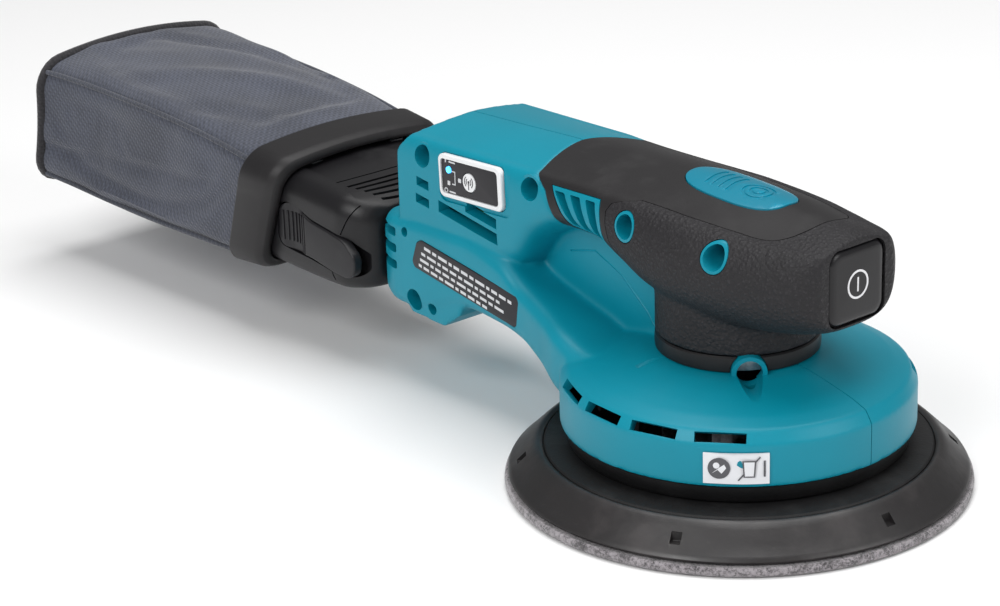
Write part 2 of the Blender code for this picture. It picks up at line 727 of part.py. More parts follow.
def pad_centre():
    return (ORBIT_OFFSET * math.cos(ORBIT_ANGLE), ORBIT_OFFSET * math.sin(ORBIT_ANGLE))


def make_spindle(steel):
    x, y = pad_centre()
    lower, upper = CRANK_PIN
    shaft = tool(lathe(((0, 30.6), (10.5, 30.6), (10.5, 34.0), (SHAFT_RADIUS, 34.0), (SHAFT_RADIUS, 53.4),
                        (ROTOR_SHAFT_RADIUS, 53.4), (ROTOR_SHAFT_RADIUS, 87.0), (0, 87.0)), 20))
    pin = tool(rod((x, y, lower), (x, y, upper), CRANK_RADIUS, 20))
    shaft = join(shaft, pin)
    shaft.name = "spindle_shaft"
    shaft.data.materials.append(steel)
    smooth(shaft)


def bearing(name, sizes, finish, centre=(0.0, 0.0)):
    """A ball bearing's outline, with a groove between its rings."""
    inner, outer, bottom, top = sizes
    third = (outer - inner) / 3
    profile = ((inner, bottom), (outer, bottom), (outer, top), (outer - third, top),
               (outer - third, top - 0.6), (inner + third, top - 0.6), (inner + third, top), (inner, top))
    smooth(new_object(name, lathe(profile, 20, centre), finish))


def make_motor(iron, copper, steel, grey):
    stack = lathe(((13.0, 57.2), (21.6, 57.2), (21.6, 76.8), (13.0, 76.8)), 32)
    stator = new_object("stator_core", stack, iron)
    for i in range(6):
        turn = Matrix.Rotation(math.tau * (i + 0.5) / 6, 4, "Z")
        cut(stator, turned_block((4.0, 2.6, 12), (Matrix.Translation((16.0, 0, 67)), turn)))
    smooth(new_object("stator_winding", lathe(((14.2, 77.1), (20.2, 77.1), (20.8, 78.4), (19.6, 79.8),
                                               (15.0, 79.8), (14.0, 78.4)), 24), copper))
    bore = ROTOR_SHAFT_RADIUS + GAP
    rotor = lathe(((bore, 57.6), (12.4, 57.6), (12.4, 76.4), (bore, 76.4)), 20)
    smooth(new_object("rotor", rotor, steel))
    box = lathe(((10.0, 44.2), (21.6, 44.2), (21.6, 55.8), (14.3, 55.8), (14.3, 45.2), (10.0, 45.2)), 28)
    smooth(new_object("bearing_box", box, grey))
    bearing("lower_bearing", BEARING_LOWER, steel)
    bearing("upper_bearing", BEARING_UPPER, steel)


def make_fan(finish, weight_finish):
    """The suction fan and the counterweight on top of it, opposite the crank."""
    fan = tool(lathe(((SHAFT_RADIUS + GAP, 34.3), (47, 34.3), (47, 35.5), (11, 35.5), (11, 41.0),
                      (SHAFT_RADIUS + GAP, 41.0)), 32))
    for i in range(11):
        turn = Matrix.Rotation(math.tau * i / 11, 4, "Z")
        lean = Matrix.Rotation(math.radians(38), 4, "Z")
        fan = join(fan, turned_block((11.5, 0.7, 4.4), (lean, Matrix.Translation((35.5, 0, 30.4)), turn)))
    fan.name = "suction_fan"
    fan.data.materials.append(finish)
    smooth(fan)
    outline = []
    for radius, sweep in ((13.0, range(13)), (29.0, reversed(range(13)))):
        for step in sweep:
            turn = ORBIT_ANGLE + math.pi / 2 + math.pi * step / 12
            outline.append((radius * math.cos(turn), radius * math.sin(turn)))
    new_object("counterweight", prism(outline, "z", 35.8, 39.8), weight_finish)


def dust_hole_cutters(sides=10):
    x, y = pad_centre()
    made = []
    for i in range(DUST_HOLES):
        turn = math.tau * (i + 0.5) / DUST_HOLES
        hole = (x + DUST_HOLE_RING * math.cos(turn), y + DUST_HOLE_RING * math.sin(turn))
        made.append(tool(rod((*hole, -2), (*hole, 18), DUST_HOLE_RADIUS, sides)))
    return made


def bolt_places():
    x, y = pad_centre()
    turns = [ORBIT_ANGLE + math.tau * i / 3 for i in range(3)]
    return [(x + 20.3 * math.cos(turn), y + 20.3 * math.sin(turn)) for turn in turns]


def make_pad(finishes):
    """Hub, eccentric bearing, plate, foam and hook face, all centred on the crank's axis."""
    centre = pad_centre()
    hub = new_object("pad_hub", lathe(((0, 14.1), (24.5, 14.1), (24.5, 17.1), (16.6, 17.1), (16.6, 29.4),
                                       (13.6, 29.4), (13.6, 17.1), (0, 17.1)), 28, centre), finishes["grey"],
                     (*centre, 14.1))
    plate = new_object("pad_plate", lathe(((0, 10.9), (PLATE_RADIUS, 10.9), (PLATE_RADIUS, PAD_TOP),
                                           (0, PAD_TOP)), 60, centre), finishes["plate"], (*centre, PAD_TOP))
    foam_low = PAD_FACE_TOP + GAP
    rim = lathe(((0, foam_low), (FOAM_EDGE_RADIUS - 0.3, foam_low), (FOAM_EDGE_RADIUS, 4.6),
                 (FOAM_TOP_RADIUS, PAD_TOP), (PLATE_RADIUS + GAP, PAD_TOP), (PLATE_RADIUS + GAP, 10.6),
                 (0, 10.6)), 60, centre)
    foam = new_object("backing_pad", rim, finishes["foam"], (*centre, 10))
    pile = lathe(((0, 0), (PAD_RADIUS - 0.4, 0), (PAD_RADIUS, 0.6), (PAD_RADIUS, 2.4),
                  (PAD_RADIUS - 0.4, PAD_FACE_TOP), (0, PAD_FACE_TOP)), 60, centre)
    face = new_object("hook_loop_face", pile, finishes["felt"], (*centre, 0))
    for layer in (plate, foam, face):
        cut(layer, *dust_hole_cutters())
    for degrees in NOTCHES:
        turn = Matrix.Rotation(math.radians(degrees), 4, "Z")
        cut(foam, turned_block((1.6, 1.7, 1.6), (Matrix.Translation((69.6, 0, 9.0)), turn,
                                                Matrix.Translation((*centre, 0)))))
    for i, (x, y) in enumerate(bolt_places()):
        for layer in (hub, plate):
            cut(layer, tool(rod((x, y, 11.7), (x, y, 20), 1.5 + GAP, 8)))
        shank_and_head = ((0, 12.0), (1.5, 12.0), (1.5, 17.4), (3.0, 17.4), (3.0, 19.6), (0, 19.6))
        bolt = tool(lathe(shank_and_head, 10, (x, y)))
        cut(bolt, tool(rod((x, y, 18.2), (x, y, 21), 1.4, 6)))
        bolt.name = f"pad_bolt_{i + 1}"
        bolt.data.materials.append(finishes["steel"])
        smooth(bolt)
    for layer in (hub, plate, foam, face):
        smooth(layer)
    bearing("eccentric_bearing", BEARING_ECCENTRIC, finishes["steel"], centre)


def make_brake_ring(finish):
    profile = ((50.5, 14.5), (54.6, 14.5), (55.8, 20.0), (54.0, 20.0), (54.0, 24.0), (50.5, 24.0))
    smooth(new_object("pad_brake_ring", lathe(profile, 48), finish))


# ---------------------------------------------------------------- electrics and screws

def make_electrics(green, aluminium, black):
    new_object("control_board", block((-117, -19, 68.2), (-82, 19, 69.8)), green)
    fins = [(-114, 70.1), (-84, 70.1), (-84, 79.5)]
    for i in range(6):
        x = -86 - 5 * i
        fins += [(x, 79.5), (x, 73.0), (x - 3, 73.0), (x - 3, 79.5)]
    fins = fins[:-1] + [(-114, 79.5)] if fins[-1][0] != -114 else fins
    new_object("heat_sink", prism(fins, "y", -16, 16), aluminium)
    inlet = new_object("power_inlet", block((-135.4, -9, 69), (-121, 9, 81)), black)
    cut(inlet, tool(block((-138, -6.6, 71.2), (-124, 6.6, 78.8))))


def make_screws(steel):
    for name, (x, z) in {**GRIP_SCREWS, **BODY_SCREWS}.items():
        head = SCREW_SEAT + GAP
        screw = tool(rod((x, -head - 2.8, z), (x, -head, z), SCREW_HEAD, 12))
        screw = join(screw, tool(rod((x, -head - 0.5, z), (x, SCREW_TIP, z), SCREW_SHANK, 8)))
        screw = cut(screw, tool(rod((x, -head - 4, z), (x, -head - 1.2, z), 1.7, 6)))
        screw.name = name
        screw.data.materials.append(steel)
        smooth(screw)


# ---------------------------------------------------------------- dust box, latches and bag

def slanted_loop(section, radius, shrink=0.0, shift=0.0, pinch=0.0):
    """A crowned, rounded rectangle in a plane that leans forward at its top."""
    x_top, x_low, half, bottom, top, crown = section
    outline = rounded(half - shrink, (top - bottom) / 2 - shrink, radius, 3, (0, (top + bottom) / 2), 3)
    loop = []
    for y, z in outline:
        rise = (z - bottom) / (top - bottom)
        if rise > 0.6:
            z += crown * (1 - (y / half) ** 2)
        side = abs(y) / half
        inward = pinch * max(0.0, 1 - (2 * rise - 1) ** 2) * (side if side > 0.9 else 0)
        loop.append((x_low + (x_top - x_low) * rise + shift, math.copysign(abs(y) - inward, y), z))
    return loop


def latch_outline():
    """The lever's S-shaped outline, in x and z."""
    return ((-197.0, 41.5), (-196.0, 53.0), (-192.0, 55.3), (-185.0, 54.6), (-178.0, 51.6), (-168.0, 50.2),
            (-159.0, 48.6), (-152.6, 43.5), (-153.2, 37.2), (-157.5, 34.8), (-167.0, 35.6), (-178.0, 37.6),
            (-189.0, 38.0), (-195.0, 38.6))


def make_dust_box(finish):
    sections = ((BOX_FRONT, BOX_FRONT, 24, 32, 59, 1.0), (-156, -156, 31.0, 29.4, 61.5, 1.4),
                (-164, -166, 34.0, 28.2, 63.2, 2.0), (-178, -186, BOX_SIDE, 28.6, 64.4, 2.4),
                (-197, -211, BOX_SIDE, 29.6, 65.4, 2.8))
    whole = tool(loft([slanted_loop(section, 7) for section in sections]))
    half, bottom, top = OUTLET
    spigot = rounded(half - 0.4, (top - bottom) / 2 - 0.4, 3.6, 3, (0, (bottom + top) / 2))
    whole = join(whole, tool(prism(spigot, "x", BOX_FRONT - 1, BOX_FRONT + 9)))
    room = ((-156, -156, 24.5, 33, 57.5, 1.0), (-196, -196, 24.5, 33, 60.5, 1.4),
            (-215, -215, 24.5, 33, 61.5, 1.6))
    whole = cut(whole, tool(loft([slanted_loop(section, 4) for section in room])))
    bore = rounded(half - 2.6, (top - bottom) / 2 - 2.6, 2.2, 3, (0, (bottom + top) / 2))
    whole = cut(whole, tool(prism(bore, "x", -160, BOX_FRONT + 12)))
    for side in (-1, 1):
        near, far = sorted((side * LATCH_FLOOR, side * 38))
        pin_x, pin_y = LATCH_PIN[0], side * LATCH_PIN[1]
        whole = cut(whole, tool(prism(grown(latch_outline(), 0.7), "y", near, far)),
                    tool(rod((pin_x, pin_y, 32.6), (pin_x, pin_y, 54.4), 1.5, 14)))
    whole.name = "dust_box"
    whole.data.materials.append(finish)
    smooth(whole)


def make_latches(finish, steel):
    for suffix, side in (("right", -1), ("left", 1)):
        pivot = (LATCH_PIN[0], side * LATCH_PIN[1], 45)
        near, far = sorted((side * 31.2, side * BOX_SIDE))
        lever = new_object(f"latch_{suffix}", prism(latch_outline(), "y", near, far), finish, pivot)
        knuckle = tool(rod((pivot[0], pivot[1], 37.6), (pivot[0], pivot[1], 49.6), 2.9, 18))
        lever = join(lever, knuckle)
        for i in range(4):
            x = -193.2 + 2.4 * i
            low, high = sorted((side * (BOX_SIDE - 0.5), side * (BOX_SIDE + 0.7)))
            lever = join(lever, tool(block((x - 0.5, low, 41.5), (x + 0.5, high, 52.0))))
        lever = cut(lever, tool(rod((pivot[0], pivot[1], 30), (pivot[0], pivot[1], 60), 1.5, 14)))
        smooth(lever)
        pin = rod((pivot[0], pivot[1], 33.2), (pivot[0], pivot[1], 53.8), 1.2, 14)
        smooth(new_object(f"latch_pin_{suffix}", pin, steel))


def make_bag_collar(finish):
    outer = ((-190.5, -204.5, 38.4, 27.0, 68.8, 3.0), (-194, -208, 39.6, 26.4, 70.0, 3.2),
             (-208.6, -222.4, 41.2, 25.9, 71.2, 3.6))
    inner = ((-190.5, -204.5, 34.9, 29.0, 66.0, 2.9), (-199.4, -213.4, 34.9, 29.0, 66.0, 2.9),
             (-199.8, -213.8, 38.5, 28.5, 68.6, 3.2), (-208.6, -222.4, 38.9, 28.2, 69.6, 3.6))
    drawn = tube([slanted_loop(section, 9) for section in outer],
                 [slanted_loop(section, 7) for section in inner])
    smooth(new_object("bag_collar", drawn, finish))


def make_dust_bag(finish):
    """The cloth bag, closed at its rear end and open into the dust box."""
    outer = []
    inner = []
    last = len(BAG_SECTIONS) - 1
    for i, (section, pinch) in enumerate(zip(BAG_SECTIONS, BAG_PINCH)):
        outer.append(slanted_loop(section, 6 - 0.6 * i, 0, 0, pinch))
        shift = BAG_CLOTH if i == last else 0
        inner.append(slanted_loop(section, 5 - 0.6 * i, BAG_CLOTH, shift, pinch))
    smooth(new_object("dust_bag", tube(outer, inner, False), finish))


def build():
    clear_scene()
    teal = material("teal_plastic", TEAL, 0.42)
    soft = material("grip_elastomer", BLACK, 0.62)
    smooth_black = material("cover_plastic", (0.04, 0.038, 0.042), 0.5)
    black = material("black_plastic", (0.022, 0.021, 0.024), 0.45)
    white = material("white_plastic", (0.82, 0.83, 0.84), 0.35)
    steel = material("steel", (0.55, 0.55, 0.56), 0.3, 1.0)
    grey = material("cast_aluminium", (0.62, 0.62, 0.63), 0.45, 1.0)
    make_housing(teal)
    make_grip(soft)
    make_top_cover(smooth_black, material("badge_teal", (0.01, 0.3, 0.38), 0.35))
    make_neck_sleeve(material("sleeve_plastic", (0.025, 0.024, 0.027), 0.4))
    make_panel(white, black, material("blue_lamp", (0.05, 0.4, 0.9), 0.3))
    make_labels(black, white)
    make_power_button(black, steel, black)
    make_speed_dial(black)
    make_spindle(steel)
    make_motor(material("laminated_iron", (0.3, 0.3, 0.31), 0.5, 1.0),
               material("copper_winding", (0.75, 0.33, 0.15), 0.4, 1.0), steel, grey)
    make_fan(material("fan_nylon", (0.05, 0.05, 0.055), 0.5), material("zinc", (0.5, 0.5, 0.52), 0.5, 1.0))
    make_pad({"grey": grey, "plate": material("pad_plate_black", (0.03, 0.03, 0.032), 0.6),
              "foam": material("pad_foam", (0.05, 0.042, 0.04), 0.4),
              "felt": material("loop_felt", (0.33, 0.31, 0.32), 0.95), "steel": steel})
    make_brake_ring(material("ring_rubber", (0.02, 0.02, 0.022), 0.5))
    make_electrics(material("circuit_board", (0.02, 0.18, 0.08), 0.5), grey, black)
    make_screws(steel)
    make_dust_box(material("box_plastic", (0.028, 0.027, 0.029), 0.4))
    make_latches(material("latch_plastic", (0.035, 0.034, 0.038), 0.4), steel)
    make_bag_collar(material("collar_plastic", (0.045, 0.042, 0.045), 0.45))
    make_dust_bag(material("bag_cloth", (0.075, 0.08, 0.1), 0.9))


build()
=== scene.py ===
"""Random orbital sander with a latched cloth dust bag: the visible pieces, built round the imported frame."""

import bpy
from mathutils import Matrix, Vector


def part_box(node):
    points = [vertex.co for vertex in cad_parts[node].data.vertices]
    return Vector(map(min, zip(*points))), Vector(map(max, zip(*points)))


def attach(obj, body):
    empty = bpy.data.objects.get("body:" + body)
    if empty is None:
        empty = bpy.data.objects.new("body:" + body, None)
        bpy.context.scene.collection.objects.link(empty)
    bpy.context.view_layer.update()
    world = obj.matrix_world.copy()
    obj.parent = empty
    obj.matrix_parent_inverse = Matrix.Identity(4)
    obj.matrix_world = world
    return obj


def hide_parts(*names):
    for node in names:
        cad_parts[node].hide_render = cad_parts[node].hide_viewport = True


bl_info = {
    "name": "Orbital sander",
    "version": (1, 0, 0),
    "blender": (4, 5, 0),
    "location": "View3D > Sidebar > Sander",
    "description": "Builds the visible pieces of a random orbital sander round its packed frame",
    "category": "Add Mesh",
}

import math

import bpy
from bpy.props import FloatProperty, FloatVectorProperty, IntProperty, PointerProperty
from mathutils import Matrix, Vector

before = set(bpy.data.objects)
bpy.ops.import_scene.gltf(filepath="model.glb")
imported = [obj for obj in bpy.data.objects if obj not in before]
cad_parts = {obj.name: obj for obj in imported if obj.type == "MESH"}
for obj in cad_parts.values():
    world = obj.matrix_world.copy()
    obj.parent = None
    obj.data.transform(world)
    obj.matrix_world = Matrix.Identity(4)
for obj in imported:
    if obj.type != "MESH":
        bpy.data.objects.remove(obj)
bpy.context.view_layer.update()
MM = 0.001


def span(node):
    """The lowest and highest corner of a frame node, in millimetres."""
    low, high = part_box(node)
    return low / MM, high / MM


def centre_of(node):
    low, high = span(node)
    return (low + high) / 2


# ---------------------------------------------------------------- driving sizes, in millimetres

GAP = 0.3
WALL = 2.5
SKIN = 2.0
PAD_CENTRE = centre_of("backing_pad").to_2d()
PAD_RADIUS = (span("hook_loop_face")[1].x - span("hook_loop_face")[0].x) / 2
FELT_TOP = span("hook_loop_face")[1].z
BEVEL_ANGLE = math.radians(50)                  # edges sharper than this are bevelled
PRINT_OUT = -28.62                              # y of the marks on the panel's key, outer face
PRINT_IN = -28.4
MARK_BACK = 50.22                               # x of the marks on the power button
MARK_FRONT = 50.36
SOCKET_RADIUS = 1.55                            # six-lobed screw socket
SOCKET_LOBE = 0.3
CLOTH_FRAMES = 12
CLOTH_REACH = 2.5                               # most that the cloth simulation may move a point
FOAM_RADIUS = (span("backing_pad")[1].x - span("backing_pad")[0].x) / 2
PAD_TOP = span("backing_pad")[1].z
PLATE_RADIUS = (span("pad_plate")[1].x - span("pad_plate")[0].x) / 2
FOAM_TOP_RADIUS = PLATE_RADIUS + 2.2
DUST_HOLES = 8
DUST_HOLE_RING = 32.5
DUST_HOLE_RADIUS = 5.0
NOTCHES = (-128.5, -61.0, 51.5, 118.0, -5.0, 175.0)

SHROUD_RADIUS = span("housing_left")[1].y
SHROUD_BOTTOM = span("housing_left")[0].z
SHROUD_WALL_TOP = SHROUD_BOTTOM + 13.95
DOME_TOP = span("neck_sleeve")[0].z - GAP
NECK_RADIUS = span("neck_sleeve")[1].y
SLEEVE_TOP = span("neck_sleeve")[1].z
DUCT_REAR = -150.0
WEB_HALF = 13.0
CHAMFER_VENTS = (-115, -94, -73, -51, 51, 73, 94, 115)

# Upper body: x, half width, bottom, widest height, roof edge height, roof edge y, ridge, squareness
UPPER_STATIONS = (
    (-135.5, 28.0, 50.0, 78.0, 92.4, 23.0, 95.2, 6.0),
    (-100.0, 28.0, 50.0, 78.0, 92.6, 23.0, 96.2, 6.0),
    (-78.0, 28.0, 56.0, 80.0, 92.7, 23.0, 97.0, 4.5),
    (-66.0, 27.6, 69.0, 82.0, 92.8, 22.6, 97.3, 2.9),
    (-55.0, 26.9, 73.0, 84.0, 92.8, 22.0, 97.7, 2.4),
    (-40.0, 26.7, 72.6, 83.0, 92.9, 21.8, 98.2, 2.3),
    (-28.0, 28.0, 67.0, 81.0, 92.9, 21.8, 98.5, 2.3),
    (-15.0, 29.8, 60.8, 79.0, 92.8, 21.8, 98.8, 2.3),
    (0.0, 30.8, 58.6, 77.5, 92.3, 21.2, 98.3, 2.4),
    (15.0, 30.2, 58.3, 77.5, 91.7, 19.8, 97.2, 2.4),
    (28.0, 28.2, 58.9, 77.5, 90.9, 17.6, 95.6, 2.4),
    (37.0, 25.6, 60.2, 77.8, 90.5, 16.2, 94.5, 2.4),
    (43.0, 23.2, 61.7, 78.2, 90.4, 15.2, 93.9, 2.5),
    (47.0, 20.6, 63.2, 78.6, 90.2, 14.2, 93.2, 2.7),
    (50.0, 16.4, 65.0, 78.6, 89.8, 12.8, 92.4, 3.2),
)
SKIN_EDGE = ((-82.0, 108.0), (-71.5, 97.4), (-66.3, 92.4), (-60.6, 88.4), (-57.8, 82.0), (-55.0, 74.0),
             (-43.0, 40.0))

# Duct: x, half width, bottom, top
DUCT_STATIONS = (
    (DUCT_REAR, 20.0, 31.5, 58.5),
    (-148.6, 23.6, 30.0, 60.0),
    (-146.0, 25.8, 29.4, 61.2),
    (-138.0, 29.0, 29.0, 62.5),
    (-124.0, 29.5, 29.5, 63.5),
    (-100.0, 29.5, 36.5, 64.0),
    (-82.0, 29.8, 35.3, 60.0),
    (-72.0, 30.5, 33.6, 53.5),
    (-58.0, 33.5, 29.0, 49.0),
    (-45.0, 37.4, 23.5, 45.5),
    (-34.0, 38.0, SHROUD_BOTTOM + 0.6, 42.0),
    (-21.0, 35.0, SHROUD_BOTTOM + 0.6, 41.0),
)
OUTLET = (15.5, 37.0, 53.0)            # dust outlet: half width, bottom, top

PANEL_CENTRE = (-96.0, 83.3)
PANEL_SIZE = (32.0, 15.0)
PANEL_TILT = math.radians(2.3)
GRIP_SCREWS = {"grip_screw_rear": (-22.0, 85.5), "grip_screw_front": (17.4, 85.2)}
BODY_SCREWS = {"tower_screw_rear": (-121.7, 86.5), "tower_screw_front": (-67.6, 87.2),
               "duct_screw": (-127.0, 33.8)}
SCREW_SEAT = 18.0
SCREW_HEAD = 3.4
SCREW_SHANK = 1.7
BOSS_RADIUS = 4.8
COVER_EDGE = 22.6
LOUVRE = ((-58.0, 90.4), (-36.0, 90.5), (-33.0, 76.0), (-50.0, 78.3))
BUTTON_HALF = 12.2
BUTTON_CENTRE = centre_of("power_button")
BUTTON_FACE = span("power_button")[1].x
LATCH_PIN = centre_of("latch_pin_left")
BOX_SIDE = 34.4
BOX_FRONT = DUCT_REAR - 0.6

# Slanted sections behind the tool: x at the top, x at the bottom, half width, bottom, top, crown
BAG_SECTIONS = (
    (-203.0, -217.0, 37.9, 29.2, 67.6, 3.0),
    (-212.0, -225.0, 38.4, 28.8, 69.4, 3.4),
    (-235.0, -247.0, 39.6, 28.4, 72.6, 5.5),
    (-262.0, -273.0, 40.8, 28.2, 75.0, 6.5),
    (-290.0, -300.0, 41.9, 28.8, 76.6, 5.5),
    (-318.0, -327.0, 43.2, 30.2, 78.0, 3.0),
    (-337.0, -345.0, 44.4, 31.2, 78.6, 0.8),
)
BAG_PINCH = (0.0, 0.6, 3.2, 5.0, 5.4, 4.4, 1.8)


# ---------------------------------------------------------------- modelling by hand, in code

def deselect():
    if bpy.context.object and bpy.context.object.mode != "OBJECT":
        bpy.ops.object.mode_set(mode="OBJECT")
    bpy.ops.object.select_all(action="DESELECT")


def hold(piece):
    """Make a piece the active object and the only one selected."""
    deselect()
    piece.select_set(True)
    bpy.context.view_layer.objects.active = piece
    return piece


def settle(piece):
    """Put a piece's place into its mesh, with its object at the origin."""
    hold(piece)
    bpy.ops.object.transform_apply(location=True, rotation=True, scale=True)
    return piece


def fit(piece, kind, **settings):
    """Add a modifier with these settings and apply it."""
    hold(piece)
    step = piece.modifiers.new(kind.title(), kind)
    for name, value in settings.items():
        setattr(step, name, value)
    bpy.ops.object.modifier_apply(modifier=step.name)
    return piece


def remove(*pieces):
    for piece in pieces:
        bpy.data.objects.remove(piece, do_unlink=True)


def carve(piece, *cutters, operation="DIFFERENCE"):
    """Cut away, add or keep each cutter in turn, and remove it."""
    for cutter in cutters:
        fit(piece, "BOOLEAN", object=cutter, operation=operation, solver="MANIFOLD")
        remove(cutter)
    return piece


def add_on(piece, *others):
    return carve(piece, *others, operation="UNION")


def keep_common(piece, other):
    return carve(piece, other, operation="INTERSECT")


def gather(name, pieces):
    """Join pieces into one mesh without fusing them."""
    deselect()
    for piece in pieces:
        piece.select_set(True)
    bpy.context.view_layer.objects.active = pieces[0]
    bpy.ops.object.join()
    pieces[0].name = name
    return pieces[0]


def soften(piece, steps, where=None, factor=0.5):
    """Relax a fine mesh, everywhere or only where the test on a point in millimetres holds."""
    if where is None:
        return fit(piece, "SMOOTH", factor=factor, iterations=steps)
    group = piece.vertex_groups.new(name="relaxed")
    group.add([v.index for v in piece.data.vertices if where(v.co / MM)], 1.0, "REPLACE")
    fit(piece, "SMOOTH", factor=factor, iterations=steps, vertex_group=group.name)
    piece.vertex_groups.clear()
    return piece


def melt(piece, voxel, steps):
    """Fuse overlapping solids into one fine skin with soft moulded edges."""
    fit(piece, "REMESH", mode="VOXEL", voxel_size=voxel * MM, use_smooth_shade=True)
    return soften(piece, steps)


def thin_out(piece, most):
    """Bring a mesh down to a number of triangles."""
    triangles = sum(len(face.vertices) - 2 for face in piece.data.polygons)
    if triangles > most:
        fit(piece, "DECIMATE", ratio=most / triangles)
    return piece


def shade(piece, degrees=40):
    hold(piece)
    bpy.ops.object.shade_smooth_by_angle(angle=math.radians(degrees))
    return piece


def close_up(piece, fill=True):
    """Merge doubles, fill open rims and turn the faces outwards."""
    hold(piece)
    bpy.ops.object.mode_set(mode="EDIT")
    bpy.ops.mesh.select_all(action="SELECT")
    bpy.ops.mesh.remove_doubles(threshold=1e-7)
    bpy.ops.mesh.select_mode(type="EDGE")
    if fill:
        bpy.ops.mesh.select_all(action="DESELECT")
        bpy.ops.mesh.select_non_manifold(extend=False)
        bpy.ops.mesh.fill_holes(sides=0)
    bpy.ops.mesh.select_all(action="SELECT")
    bpy.ops.mesh.normals_make_consistent(inside=False)
    bpy.ops.mesh.select_mode(type="VERT")
    bpy.ops.object.mode_set(mode="OBJECT")
    return piece


def skin(name, rings, closed=False, open_ends=False):
    """A skin through rings of points in millimetres, closed by caps or back onto its first ring."""
    rings = list(rings)
    if closed:
        rings.append(rings[0])
    columns = len(rings[0])
    deselect()
    bpy.ops.mesh.primitive_grid_add(x_subdivisions=columns, y_subdivisions=len(rings) - 1)
    piece = bpy.context.object
    piece.name = name
    piece.data.name = name
    points = []
    for ring in rings:
        for column in range(columns + 1):
            points.extend(coordinate * MM for coordinate in ring[column % columns])
    piece.data.vertices.foreach_set("co", points)
    return close_up(piece, not open_ends)


def turned(name, profile, segments=160, centre=(0.0, 0.0), closed=False):
    """Turn a profile of radius and height about the vertical through centre."""
    circle = [(math.cos(math.tau * i / segments), math.sin(math.tau * i / segments))
              for i in range(segments)]
    rings = [[(centre[0] + radius * c, centre[1] + radius * s, z) for c, s in circle] for radius,
             z in profile]
    return skin(name, rings, closed)


def slab(name, outline, axis, low, high, edge=0.0, steps=3):
    """A filled outline of two coordinates, extruded along axis from low to high, with its rims bevelled."""
    deselect()
    bpy.ops.mesh.primitive_circle_add(vertices=len(outline), radius=1, fill_type="NGON")
    piece = bpy.context.object
    piece.name = name
    piece.data.name = name
    for vertex, (first, second) in zip(piece.data.vertices, outline):
        place = {"x": (low, first, second), "y": (first, low, second), "z": (first, second, low)}[axis]
        vertex.co = Vector(place) * MM
    along = Vector({"x": (1, 0, 0), "y": (0, 1, 0), "z": (0, 0, 1)}[axis]) * (high - low) * MM
    bpy.ops.object.mode_set(mode="EDIT")
    bpy.ops.mesh.select_all(action="SELECT")
    bpy.ops.mesh.extrude_region_move(TRANSFORM_OT_translate={"value": along})
    bpy.ops.mesh.select_all(action="SELECT")
    bpy.ops.mesh.normals_make_consistent(inside=False)
    bpy.ops.object.mode_set(mode="OBJECT")
    if edge:
        fit(piece, "BEVEL", width=edge * MM, segments=steps, limit_method="ANGLE",
            angle_limit=BEVEL_ANGLE)
    return piece


def box(name, low, high, edge=0.0, steps=3):
    """A cube set to its corners, with bevelled edges."""
    low, high = Vector(low), Vector(high)
    deselect()
    bpy.ops.mesh.primitive_cube_add(size=1, location=(low + high) / 2 * MM, scale=(high - low) * MM)
    piece = settle(bpy.context.object)
    piece.name = name
    if edge:
        fit(piece, "BEVEL", width=edge * MM, segments=steps)
    return piece


def rod(name, start, end, radius, sides=48, far_radius=None):
    """A round bar between two points."""
    start, end = Vector(start), Vector(end)
    axis = end - start
    deselect()
    bpy.ops.mesh.primitive_cone_add(vertices=sides, radius1=radius * MM, depth=axis.length * MM,
                                    radius2=(radius if far_radius is None else far_radius) * MM,
                                    location=(start + end) / 2 * MM,
                                    rotation=axis.to_track_quat("Z", "Y").to_euler())
    piece = settle(bpy.context.object)
    piece.name = name
    return piece


def turned_box(size, moves, edge=0.0):
    """A box of half sizes, moved by the matrices in order."""
    piece = box("cutter", [-side for side in size], size, edge)
    for move in moves:
        place = move.copy()
        place.translation = move.translation * MM
        piece.data.transform(place)
    return piece


def both_sides(outline, near, far, edge=0.0):
    """The same slab on the left and on the right."""
    return gather("cutter", [slab("cutter", outline, "y", near, far, edge),
                             slab("cutter", outline, "y", -far, -near, edge)])


def finish_piece(piece, look, body, stands_for=()):
    """Give a piece its material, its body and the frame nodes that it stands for."""
    piece.data.materials.clear()
    piece.data.materials.append(look)
    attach(piece, body)
    if stands_for:
        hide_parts(*stands_for)
    return piece


def coat(look, *nodes):
    """Give frame nodes that keep their own shape a material."""
    for node in nodes:
        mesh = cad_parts[node].data
        mesh.materials.clear()
        mesh.materials.append(look)


# ---------------------------------------------------------------- outlines and sections

def rounded(half_width, half_height, radius, steps=8, centre=(0.0, 0.0), between=0):
    """A rectangle with round corners, with points between the corners if asked."""
    corners = []
    for quarter in range(4):
        sign_x = (1, -1, -1, 1)[quarter]
        sign_y = (1, 1, -1, -1)[quarter]
        for step in range(steps + 1):
            angle = math.pi / 2 * (quarter + step / steps)
            corners.append(Vector((centre[0] + sign_x * (half_width - radius) + radius * math.cos(angle),
                                   centre[1] + sign_y * (half_height - radius) + radius * math.sin(angle))))
    points = []
    for i, corner in enumerate(corners):
        points.append(tuple(corner))
        if i % (steps + 1) == steps:
            following = corners[(i + 1) % len(corners)]
            points += [tuple(corner.lerp(following, (step + 1) / (between + 1))) for step in range(between)]
    return points


def oval(centre, half_width, half_height, sides=32):
    return [(centre[0] + half_width * math.cos(math.tau * i / sides),
             centre[1] + half_height * math.sin(math.tau * i / sides)) for i in range(sides)]


def grown(outline, grow):
    """The outline with each corner moved away from its middle."""
    middle = sum((Vector(point) for point in outline), Vector((0, 0))) / len(outline)
    return [tuple(middle + (Vector(point) - middle) * (1 + grow / (Vector(point) - middle).length))
            for point in outline]


